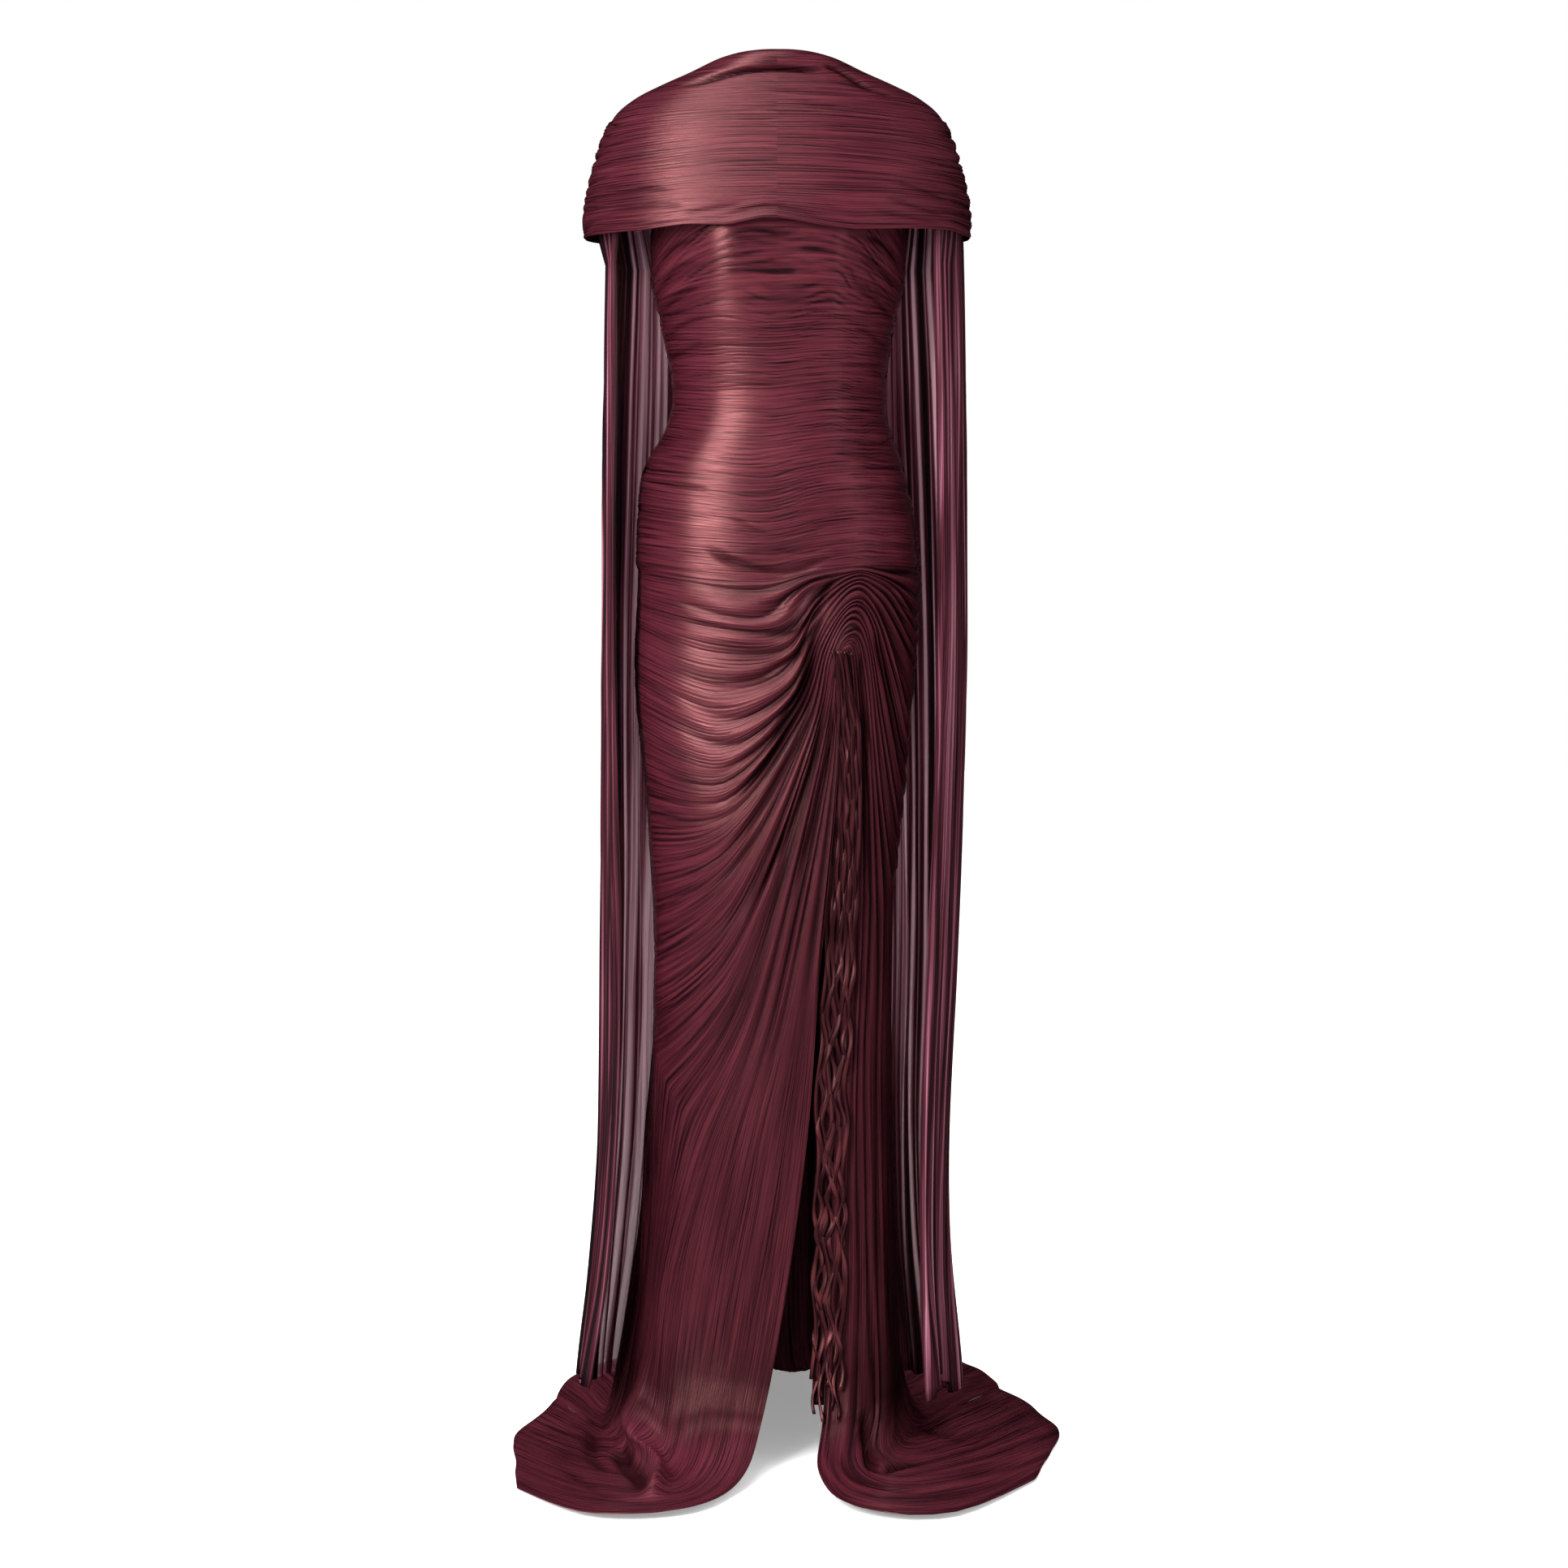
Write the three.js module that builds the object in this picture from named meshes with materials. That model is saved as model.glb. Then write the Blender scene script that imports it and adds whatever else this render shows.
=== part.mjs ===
// Pleated maxi dress with a shoulder band, long sheer wings, a draped skirt with a slit and a train.
// Millimetres, +Z up, the front faces -Y. Heights below are above the floor until the last lines.
import * as THREE from 'three';

// Driving sizes
const shoulderHeight = 1590; // the wearer's shoulders carry the dress here: the origin
const wall = 2;              // cloth wall under the pleats
const seamGap = 0.3;         // between neighbouring pieces
const hipSeam = 1046;        // height where bodice and skirt meet at the sides
const coarse = 4;            // pleat rows to one row of the plain inside

// Pleats of each piece
const pleats = { band: 30, bodiceFront: 36, bodiceBack: 24, skirtFront: 48, skirtBack: 10, wing: 14 };

// Half widths and depths of the body of the dress, a row for each height
const figure = [
  { z: 20, left: 178, right: 145, front: 112, back: 200 },
  { z: 125, left: 174, right: 142, front: 108, back: 170 },
  { z: 260, left: 164, right: 138, front: 103, back: 140 },
  { z: 400, left: 153, right: 132, front: 99, back: 120 },
  { z: 516, left: 148, right: 131, front: 97, back: 108 },
  { z: 620, left: 147, right: 131, front: 96, back: 102 },
  { z: 715, left: 152, right: 137, front: 96, back: 102 },
  { z: 790, left: 157, right: 145, front: 97, back: 106 },
  { z: 850, left: 164, right: 152, front: 98, back: 111 },
  { z: 930, left: 169, right: 157, front: 100, back: 116 },
  { z: 1030, left: 165, right: 163, front: 98, back: 112 },
  { z: 1100, left: 163, right: 156, front: 95, back: 102 },
  { z: 1160, left: 156, right: 143, front: 90, back: 88 },
  { z: 1212, left: 128, right: 125, front: 86, back: 78 },
  { z: 1255, left: 121, right: 121, front: 87, back: 77 },
  { z: 1340, left: 137, right: 133, front: 104, back: 88 },
  { z: 1385, left: 147, right: 144, front: 115, back: 95 },
  { z: 1440, left: 150, right: 150, front: 108, back: 98 },
  { z: 1500, left: 138, right: 138, front: 96, back: 94 },
];

// Shoulder band from its hem up to the neck edge: height and reach at the front, the sides and the back
const bandRings = [
  { s: 0.0, zFront: 1432, front: 128, zSide: 1431, side: 223, zBack: 1430, back: 118 },
  { s: 0.15, zFront: 1468, front: 121, zSide: 1462, side: 222, zBack: 1466, back: 118 },
  { s: 0.3, zFront: 1503, front: 112, zSide: 1492, side: 217, zBack: 1502, back: 115 },
  { s: 0.42, zFront: 1534, front: 103, zSide: 1520, side: 210, zBack: 1534, back: 110 },
  { s: 0.54, zFront: 1560, front: 95, zSide: 1548, side: 201, zBack: 1564, back: 103 },
  { s: 0.64, zFront: 1580, front: 88, zSide: 1573, side: 189, zBack: 1588, back: 97 },
  { s: 0.73, zFront: 1597, front: 82, zSide: 1592, side: 166, zBack: 1608, back: 90 },
  { s: 0.81, zFront: 1610, front: 77, zSide: 1606, side: 138, zBack: 1622, back: 84 },
  { s: 0.88, zFront: 1622, front: 72, zSide: 1620, side: 106, zBack: 1634, back: 78 },
  { s: 0.95, zFront: 1636, front: 68, zSide: 1633, side: 78, zBack: 1644, back: 72 },
  { s: 1.0, zFront: 1643, front: 60, zSide: 1638, side: 63, zBack: 1648, back: 66 },
];

// Pleat lines of the skirt front in front view, x and height, from the knot's arches to the left side seam
// or, past the split, to the knee
const split = 11 / 24;
const leftLines = [
  { v: 0, apex: [84, 1048], bend: [40, 1042], throat: [-14, 1031], sweep: [-88, 1034], edge: [-165, 1046] },
  { v: 0.1, apex: [87, 1038], bend: [44, 1012], throat: [2, 962], sweep: [-80, 962], edge: [-166, 988] },
  { v: 0.2, apex: [86, 1025], bend: [46, 982], throat: [10, 905], sweep: [-70, 864], edge: [-168, 903] },
  { v: 0.3, apex: [84, 1008], bend: [52, 964], throat: [20, 880], sweep: [-62, 786], edge: [-159, 797] },
  { v: 0.38, apex: [82, 992], bend: [57, 952], throat: [31, 862], sweep: [-57, 712], edge: [-150, 655] },
  { v: split, apex: [80, 978], bend: [61, 942], throat: [40, 846], sweep: [-50, 602], edge: [-148, 494] },
  { v: 0.58, apex: [79, 968], bend: [64, 936], throat: [46, 832], sweep: [-30, 535], edge: [-94, 388] },
  { v: 0.72, apex: [78, 961], bend: [67, 931], throat: [55, 818], sweep: [-5, 540], edge: [-54, 384] },
  { v: 0.86, apex: [77, 955], bend: [69, 927], throat: [61, 804], sweep: [23, 556], edge: [-12, 384] },
  { v: 1.0, apex: [77, 950], bend: [71, 923], throat: [66, 790], sweep: [47, 577], edge: [33, 387] },
];

// The same lines from the arches to the right side seam or the right knee
const rightLines = [
  { v: 0.0, bend: [112, 1049], fall: [138, 1048], edge: [163, 1046] },
  { v: 0.1, bend: [116, 1030], fall: [141, 1008], edge: [161, 984] },
  { v: 0.2, bend: [112, 1008], fall: [136, 960], edge: [157, 908] },
  { v: 0.3, bend: [107, 988], fall: [127, 905], edge: [147, 800] },
  { v: 0.38, bend: [103, 973], fall: [121, 872], edge: [140, 742] },
  { v: split, bend: [99, 960], fall: [115, 846], edge: [135, 690] },
  { v: 0.58, bend: [95, 951], fall: [109, 828], edge: [121, 650] },
  { v: 0.72, bend: [92, 943], fall: [103, 812], edge: [106, 620] },
  { v: 0.86, bend: [88, 936], fall: [97, 796], edge: [92, 600] },
  { v: 1.0, bend: [84, 929], fall: [90, 780], edge: [78, 585] },
];

// Where each of these lines runs on, down the left panel and out over the floor to the train's hem
const leftTrain = [
  { v: split, shin: [-155, 0, 270], ankle: [-178, 0, 100], toe: [-196, 0, 34], turn: [-214, 34, 9],
    rest: [-244, 110, 7], hem: [-281, 221, 7] },
  { v: 0.58, shin: [-134, -58, 230], ankle: [-150, -70, 92], toe: [-160, -100, 26], turn: [-184, -112, 9],
    rest: [-236, -62, 7], hem: [-309, 58, 7] },
  { v: 0.72, shin: [-91, -86, 225], ankle: [-112, -108, 84], toe: [-126, -158, 22], turn: [-158, -200, 9],
    rest: [-226, -160, 7], hem: [-313, -26, 7] },
  { v: 0.86, shin: [-42, -98, 222], ankle: [-68, -120, 76], toe: [-88, -204, 18], turn: [-130, -270, 9],
    rest: [-215, -246, 7], hem: [-303, -128, 7] },
  { v: 1.0, shin: [11, -101, 220], ankle: [-18, -122, 66], toe: [-44, -222, 14], turn: [-102, -324, 9],
    rest: [-206, -334, 7], hem: [-293, -212, 7] },
];
const rightTrain = [
  { v: split, knee: [132, 0, 480], shin: [138, 0, 270], ankle: [144, 0, 80], toe: [154, 14, 28],
    turn: [178, 62, 9], rest: [225, 170, 7], hem: [288, 324, 7] },
  { v: 0.58, knee: [119, -46, 450], shin: [124, -52, 245], ankle: [129, -62, 78], toe: [130, -98, 24],
    turn: [160, -92, 9], rest: [232, -14, 7], hem: [322, 180, 7] },
  { v: 0.72, knee: [103, -66, 436], shin: [107, -72, 230], ankle: [108, -92, 72], toe: [104, -148, 20],
    turn: [145, -184, 9], rest: [238, -112, 7], hem: [335, 40, 7] },
  { v: 0.86, knee: [84, -82, 424], shin: [83, -86, 215], ankle: [80, -110, 66], toe: [74, -188, 17],
    turn: [120, -264, 9], rest: [222, -224, 7], hem: [316, -64, 7] },
  { v: 1.0, knee: [66, -90, 412], shin: [59, -96, 200], ankle: [51, -118, 60], toe: [46, -200, 14],
    turn: [84, -318, 9], rest: [186, -332, 7], hem: [286, -172, 7] },
];

// Skirt back from the hip seam to the hem of the train: reach behind the side seams at the middle
const backLines = [
  { t: 0.0, x: 0, y: 112, z: 1046 }, { t: 0.1, x: 0, y: 117, z: 930 }, { t: 0.2, x: 0, y: 106, z: 790 },
  { t: 0.3, x: -2, y: 108, z: 630 }, { t: 0.4, x: -4, y: 138, z: 430 }, { t: 0.5, x: -6, y: 190, z: 250 },
  { t: 0.6, x: -8, y: 244, z: 100 }, { t: 0.68, x: -8, y: 296, z: 32 }, { t: 0.78, x: -4, y: 372, z: 9 },
  { t: 0.89, x: 0, y: 462, z: 7 }, { t: 1.0, x: 0, y: 552, z: 7 },
];

// Wings in plan at each height: front edge, outer side, rear corner and back edge
const leftWing = [
  { z: 1400, front: [-190, -60], outer: [-206, -8], rear: [-181, 58], back: [-104, 91] },
  { z: 1230, front: [-190, -62], outer: [-208, -8], rear: [-188, 74], back: [-104, 128] },
  { z: 930, front: [-190, -64], outer: [-212, -8], rear: [-196, 80], back: [-120, 142] },
  { z: 620, front: [-188, -66], outer: [-212, -8], rear: [-196, 82], back: [-130, 142] },
  { z: 380, front: [-192, -68], outer: [-214, -8], rear: [-202, 84], back: [-138, 148] },
  { z: 220, front: [-204, -74], outer: [-224, -10], rear: [-214, 88], back: [-155, 166] },
  { z: 90, front: [-226, -84], outer: [-236, -14], rear: [-225, 96], back: [-178, 186] },
];
const rightWing = [
  { z: 1400, front: [180, -68], outer: [210, -8], rear: [184, 58], back: [104, 91] },
  { z: 1230, front: [184, -78], outer: [219, -8], rear: [194, 78], back: [104, 128] },
  { z: 930, front: [184, -80], outer: [219, -8], rear: [200, 84], back: [122, 142] },
  { z: 620, front: [176, -80], outer: [214, -8], rear: [196, 84], back: [132, 142] },
  { z: 380, front: [168, -82], outer: [204, -8], rear: [190, 84], back: [130, 146] },
  { z: 220, front: [168, -84], outer: [203, -10], rear: [196, 88], back: [132, 156] },
  { z: 90, front: [176, -88], outer: [212, -14], rear: [210, 98], back: [140, 168] },
];

// Small helpers
const mix = (a, b, t) => a + (b - a) * t;
const ease = (low, high, x) => {
  const t = Math.min(1, Math.max(0, (x - low) / (high - low)));
  return t * t * (3 - 2 * t);
};
const vec = (p) => new THREE.Vector3(p[0], p[1], p[2]);

// Cubic through the rows of a table: slopes come from the neighbouring rows
function smooth(rows, key, at, read) {
  const last = rows.length - 1;
  const x = Math.min(rows[last][key], Math.max(rows[0][key], at));
  let k = 0;
  while (k < last - 1 && rows[k + 1][key] < x) k++;
  const slope = (i) => {
    const a = Math.max(0, i - 1);
    const b = Math.min(last, i + 1);
    return (read(rows[b]) - read(rows[a])) / (rows[b][key] - rows[a][key]);
  };
  const h = rows[k + 1][key] - rows[k][key];
  const t = (x - rows[k][key]) / h;
  const t2 = t * t;
  const t3 = t2 * t;
  return (2 * t3 - 3 * t2 + 1) * read(rows[k]) + (t3 - 2 * t2 + t) * h * slope(k)
    + (3 * t2 - 2 * t3) * read(rows[k + 1]) + (t3 - t2) * h * slope(k + 1);
}

// Point at station u of a curve through a list of stations; at the corner station it may turn sharply
function along(points, u, corner = -1, roundness = 1) {
  const last = points.length - 1;
  const k = Math.min(last - 1, Math.max(0, Math.floor(u)));
  const t = u - k;
  const [a, b, c, d] = [k - 1, k, k + 1, k + 2].map((i) => points[Math.min(last, Math.max(0, i))]);
  const out = new THREE.Vector3();
  for (const axis of ['x', 'y', 'z']) {
    const m1 = ((c[axis] - a[axis]) / 2) * (k === corner ? roundness : 1);
    const m2 = ((d[axis] - b[axis]) / 2) * (k + 1 === corner ? roundness : 1);
    out[axis] = (2 * t ** 3 - 3 * t ** 2 + 1) * b[axis] + (t ** 3 - 2 * t ** 2 + t) * m1
      + (3 * t ** 2 - 2 * t ** 3) * c[axis] + (t ** 3 - t ** 2) * m2;
  }
  return out;
}

// The body of the dress: middle and half width at a height, and the depth at x
const size = (z, name) => smooth(figure, 'z', z, (row) => row[name]);
const halfWidth = (z) => (size(z, 'left') + size(z, 'right')) / 2;
const middle = (z) => (size(z, 'right') - size(z, 'left')) / 2;
const plump = 2.25; // roundness of the section
function depthAt(x, z, side) {
  const across = Math.min(1, Math.abs((x - middle(z)) / halfWidth(z)));
  const round = (1 - across ** plump) ** (1 / plump);
  if (side === 'back') return size(z, 'back') * round;
  const bust = 9 * Math.exp(-(((Math.abs(x) - 68) / 38) ** 2) - (((z - 1385) / 42) ** 2));
  const knot = 13 * Math.exp(-(((x - 79) / 42) ** 2) - (((z - 962) / 58) ** 2));
  return -(size(z, 'front') + bust + knot) * round;
}
function bodyNormal(x, z, side) {
  const step = 2;
  const slopeX = (depthAt(x + step, z, side) - depthAt(x - step, z, side)) / (2 * step);
  const slopeZ = (depthAt(x, z + step, side) - depthAt(x, z - step, side)) / (2 * step);
  const n = new THREE.Vector3(slopeX, -1, slopeZ).normalize();
  return side === 'back' ? n.negate() : n;
}

// A cloth wall over a grid of base points. The outer points carry the pleats, the inside is plain.
// open(I, j) leaves out a cell of the plain grid; turn is 1 or -1 for the side that faces out.
function clothWall({
  rows, cols, base, lift, drop, normal,
  open = () => false, wrap = false, step = coarse, turn = 1,
}) {
  const lines = wrap ? cols : cols + 1;
  const col = (j) => (wrap ? (j + cols) % cols : j);
  const points = [];
  for (let i = 0; i <= rows; i++) points.push(Array.from({ length: lines }, (_, j) => base(i, j)));
  const exists = (I, j) => I >= 0 && I < rows / step && (wrap || (j >= 0 && j < cols)) && !open(I, col(j));
  const used = (i, j) => {
    const [a, b] = [Math.ceil(i / step) - 1, Math.floor(i / step)];
    return [a, b].some((I) => exists(I, j) || exists(I, j - 1));
  };
  const near = (i, j, di, dj) => {
    const [a, b] = [i + di, wrap ? col(j + dj) : j + dj];
    return a >= 0 && a <= rows && b >= 0 && b < lines && used(a, b) ? points[a][b] : points[i][j];
  };
  const normals = points.map((line, i) => line.map((p, j) => {
    const set = normal && normal(i, j);
    if (set) return set;
    const down = near(i, j, 1, 0).clone().sub(near(i, j, -1, 0));
    const across = near(i, j, 0, 1).clone().sub(near(i, j, 0, -1));
    return down.cross(across).normalize().multiplyScalar(turn);
  }));
  const spacing = (i, j) => near(i, j, 1, 0).distanceTo(near(i, j, -1, 0));
  const outer = points.map((line, i) => line.map((p, j) => (
    p.clone().addScaledVector(normals[i][j], lift(i, j, spacing(i, j))))));
  const inner = [];
  for (let I = 0; I <= rows / step; I++) {
    inner.push(points[I * step].map((p, j) => (
      p.clone().addScaledVector(normals[I * step][j], drop ? drop(I * step, j) : -wall))));
  }
  const position = [];
  const index = [];
  const ids = new Map();
  const id = (kind, i, j) => {
    const name = `${kind}${i}_${col(j)}`;
    if (!ids.has(name)) {
      const p = (kind === 'o' ? outer : inner)[i][col(j)];
      ids.set(name, position.length / 3);
      position.push(p.x, p.y, p.z);
    }
    return ids.get(name);
  };
  const face = (a, b, c) => index.push(...(turn > 0 ? [a, b, c] : [a, c, b]));
  for (let I = 0; I < rows / step; I++) {
    for (let j = 0; j < cols; j++) {
      if (!exists(I, j)) continue;
      const [top, end] = [I * step, (I + 1) * step];
      for (let i = top; i < end; i++) {
        face(id('o', i, j), id('o', i + 1, j), id('o', i, j + 1));
        face(id('o', i + 1, j), id('o', i + 1, j + 1), id('o', i, j + 1));
      }
      face(id('n', I, j), id('n', I, j + 1), id('n', I + 1, j));
      face(id('n', I + 1, j), id('n', I, j + 1), id('n', I + 1, j + 1));
      if (!exists(I - 1, j)) {
        face(id('o', top, j), id('o', top, j + 1), id('n', I, j + 1));
        face(id('o', top, j), id('n', I, j + 1), id('n', I, j));
      }
      if (!exists(I + 1, j)) {
        face(id('o', end, j + 1), id('o', end, j), id('n', I + 1, j));
        face(id('o', end, j + 1), id('n', I + 1, j), id('n', I + 1, j + 1));
      }
      const half = (top + end) / 2;
      for (const [edge, sign] of [[j, 1], [j + 1, -1]]) {
        if (exists(I, sign > 0 ? j - 1 : j + 1)) continue;
        const rim = (a, b, c) => (sign > 0 ? face(a, b, c) : face(b, a, c));
        for (let k = end; k > top; k--) {
          rim(id('o', k, edge), id('o', k - 1, edge), id('n', k > half ? I + 1 : I, edge));
        }
        rim(id('n', I, edge), id('n', I + 1, edge), id('o', Math.floor(half), edge));
      }
    }
  }
  const geometry = new THREE.BufferGeometry();
  geometry.setAttribute('position', new THREE.Float32BufferAttribute(position, 3));
  geometry.setIndex(index);
  geometry.computeVertexNormals();
  return { geometry, outer, inner, points, normals };
}

// Height of the pleats where neighbouring lines lie this far apart: fine ones where there is room,
// three gathered into one soft fold where the cloth is drawn together
function gathered(i, spacing, most) {
  const fine = Math.min(most, 0.42 * spacing) * (i % 2);
  const fold = Math.min(most * 1.3, 0.9 * spacing) * (0.5 - 0.5 * Math.cos((2 * Math.PI * i) / 6));
  return mix(fold, fine, ease(2.5, 6, spacing));
}

// Shoulder band: one loop from its hem over the shoulders to the neck
function shoulderBand() {
  const rows = pleats.band * 2;
  const cols = 20;
  const squareness = 0.86;
  const power = (c) => Math.sign(c) * Math.abs(c) ** squareness;
  const base = (i, j) => {
    const s = i / rows;
    const a = (2 * Math.PI * j) / cols;
    const read = (name) => smooth(bandRings, 's', s, (row) => row[name]);
    const [front, back] = [Math.max(0, Math.cos(a)) ** 2, Math.max(0, -Math.cos(a)) ** 2];
    const x = -2 + read('side') * power(Math.sin(a));
    const y = Math.cos(a) > 0 ? -read('front') * power(Math.cos(a)) : -read('back') * power(Math.cos(a));
    const arch = 8 * Math.exp(-((x / 60) ** 2)) * front * (1 - ease(0, 0.15, s));
    const z = read('zSide') * (1 - front - back) + read('zFront') * front + read('zBack') * back + arch;
    return new THREE.Vector3(x, y, z);
  };
  const lift = (i, j) => {
    const s = i / rows;
    const a = (2 * Math.PI * j) / cols;
    const sideways = Math.abs(Math.sin(a)) ** 4;
    const ruched = 2.2 + 2 * sideways * (1 - ease(0.2, 0.5, s));
    const crease = 0.86 - 0.12 * Math.max(0, -Math.sin(a)) ** 2 - 0.04 * Math.max(0, Math.sin(a)) ** 2;
    const rise = Math.min(1, Math.max(0, (s - crease) / (1 - crease)));
    const roll = 5.5 * Math.max(0, Math.sin(Math.PI * rise)) ** 0.6;
    const hem = 1 - ease(0.92, 1, s);
    return 0.4 + ruched * (i % 2) * hem + roll;
  };
  return clothWall({ rows, cols, base, lift, wrap: true, turn: -1 });
}
const band = shoulderBand();

// Point on the band's plain inside along one of its rows, at an angle from the front
function insideBand(row, angle) {
  const line = band.inner[row];
  const at = ((angle / (2 * Math.PI)) * line.length + line.length) % line.length;
  const k = Math.floor(at);
  return line[k].clone().lerp(line[(k + 1) % line.length], at - k);
}
// The same by x, on the front or the back of the band
function insideBandAt(row, x, side) {
  let [low, high] = side === 'front' ? [-Math.PI / 2, Math.PI / 2] : [Math.PI * 1.5, Math.PI / 2];
  for (let n = 0; n < 40; n++) {
    const half = (low + high) / 2;
    if (insideBand(row, half).x < x) low = half;
    else high = half;
  }
  return insideBand(row, low);
}

// Skirt front: lines from the left seam or hem, up over the knot and down to the right seam or hem
const leftStations = [0.5, 1, 1.6, 2.25, 3, 3.5, 4];
const leftTrainStations = [5, 6, 6.7, 7.3, 7.8, 8.2, 8.6, 9, 9.5, 10];
const rightStations = [0.5, 1, 1.6, 2.3, 3];
const rightTrainStations = [4, 5, 6, 6.7, 7.3, 7.8, 8.2, 8.6, 9, 9.5, 10];
const skirtStations = [
  ...rightTrainStations.map((u) => -u).reverse(), ...rightStations.map((u) => -u).reverse(), 0,
  ...leftStations, ...leftTrainStations,
];
const firstUpper = rightTrainStations.length;
const lastUpper = firstUpper + rightStations.length + leftStations.length;

function skirtPoint(v, u) {
  const flat = (rows, name) => {
    const [x, z] = [0, 1].map((k) => smooth(rows, 'v', v, (row) => row[name][k]));
    return new THREE.Vector3(x, depthAt(x, z, 'front'), z);
  };
  const free = (rows, name) => vec([0, 1, 2].map((k) => (
    smooth(rows, 'v', Math.max(v, split), (row) => row[name][k]))));
  const left = u >= 0;
  const path = left
    ? [flat(rightLines, 'bend'), flat(leftLines, 'apex'),
      ...['bend', 'throat', 'sweep', 'edge'].map((name) => flat(leftLines, name)),
      ...['shin', 'ankle', 'toe', 'turn', 'rest', 'hem'].map((name) => free(leftTrain, name))]
    : [flat(leftLines, 'bend'), flat(leftLines, 'apex'),
      ...['bend', 'fall', 'edge'].map((name) => flat(rightLines, name)),
      ...['knee', 'shin', 'ankle', 'toe', 'turn', 'rest', 'hem'].map((name) => free(rightTrain, name))];
  const corner = left ? 5 : 4; // the end of the lines that stop at a side seam
  const stations = v < split ? path.slice(0, corner + 1) : path;
  const p = along(stations, Math.abs(u) + 1, corner, ease(split, split + 0.2, v));
  const onBody = ease(360, 520, p.z);
  const edge = left ? -size(p.z, 'left') : size(p.z, 'right');
  const seam = v <= split && Math.abs(u) >= (left ? 4 : 3);
  if (seam && p.z > 110) p.x = mix(p.x, edge, ease(110, 300, p.z));
  if (!seam) p.y = mix(p.y, depthAt(p.x, p.z, 'front'), onBody);
  else p.y *= 1 - ease(60, 120, p.z);
  return p;
}

// Normal at the side seams, the same for the pieces on both sides of it
function seamNormal(point, before, after, side) {
  const tangent = after.clone().sub(before).normalize();
  const lying = 1 - ease(12, 90, point.z);
  const out = new THREE.Vector3(side * (1 - lying), 0, lying);
  return out.addScaledVector(tangent, -out.dot(tangent)).normalize();
}

function skirtFront() {
  const rows = pleats.skirtFront * 2;
  const cols = skirtStations.length - 1;
  const splitRow = Math.round(split * rows);
  const base = (i, j) => skirtPoint(i / rows, skirtStations[j]);
  const normal = (i, j) => {
    const u = skirtStations[j];
    const side = u > 0 ? -1 : 1;
    const onSeam = (j === firstUpper || j === lastUpper) && i < splitRow;
    if (onSeam) return new THREE.Vector3(side, 0, 0);
    if (i === splitRow && (j <= firstUpper || j >= lastUpper)) {
      const step = u > 0 ? 1 : -1;
      const before = j === firstUpper || j === lastUpper ? j : j - step;
      const after = Math.min(cols, Math.max(0, j + step));
      return seamNormal(base(i, j), base(i, before), base(i, after), side);
    }
    if (i === 0) {
      const p = base(i, j);
      return bodyNormal(p.x, p.z, 'front');
    }
    return null;
  };
  const lift = (i, j, spacing) => {
    if (i === 0 || i === rows) return 0.4;
    const besideSeam = j < firstUpper || j > lastUpper ? ease(0, 4, i - splitRow) : 1;
    return 0.4 + gathered(i, spacing, base(i, j).z < 40 ? 4 : 3) * besideSeam;
  };
  const open = (I, j) => I * coarse < splitRow && (j < firstUpper || j >= lastUpper);
  return clothWall({ rows, cols, base, lift, normal, open, turn: -1 });
}
const skirt = skirtFront();

// Bodice front: ruched across, its lower edge on the skirt's first line, its top inside the band
const bodiceTopRow = 5; // row of the band's inside that carries the bodice
function bodiceFront() {
  const rows = pleats.bodiceFront * 2;
  const first = skirt.points[0].slice(firstUpper, lastUpper + 1);
  const cols = first.length - 1;
  const across = first.map((p) => (p.x - middle(p.z)) / halfWidth(p.z));
  const base = (i, j) => {
    const t = i / rows;
    const bottom = first[j].z + seamGap;
    const onTop = 1 - Math.abs(across[j]) ** 3;
    const armpit = 1440;
    let z = mix(bottom, armpit, t);
    let x = middle(z) + halfWidth(z) * across[j];
    let y = depthAt(x, z, 'front') - seamGap / 2;
    const held = insideBandAt(bodiceTopRow, Math.max(-110, Math.min(110, x)), 'front');
    const rise = ease(0.72, 1, t) * onTop;
    const reach = ease(0.8, 1, t) * ease(0.55, 0.95, onTop);
    z = mix(z, held.z, rise);
    y = mix(y, held.y + 0.9, reach);
    if (t === 0) return first[j].clone().setZ(bottom);
    return new THREE.Vector3(x, y, z);
  };
  const normal = (i, j) => {
    if (j === 0 || j === cols) return new THREE.Vector3(j === 0 ? 1 : -1, 0, 0);
    return i === 0 ? skirt.normals[0][firstUpper + j] : null;
  };
  const lift = (i, j) => {
    const side = Math.abs(across[j]) ** 6;
    const underBand = 1 - ease(0.8, 0.92, i / rows);
    return 0.4 + (2.4 + 1.2 * side) * (i % 2) * underBand;
  };
  return clothWall({ rows, cols, base, lift, normal, turn: 1 });
}

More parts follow.
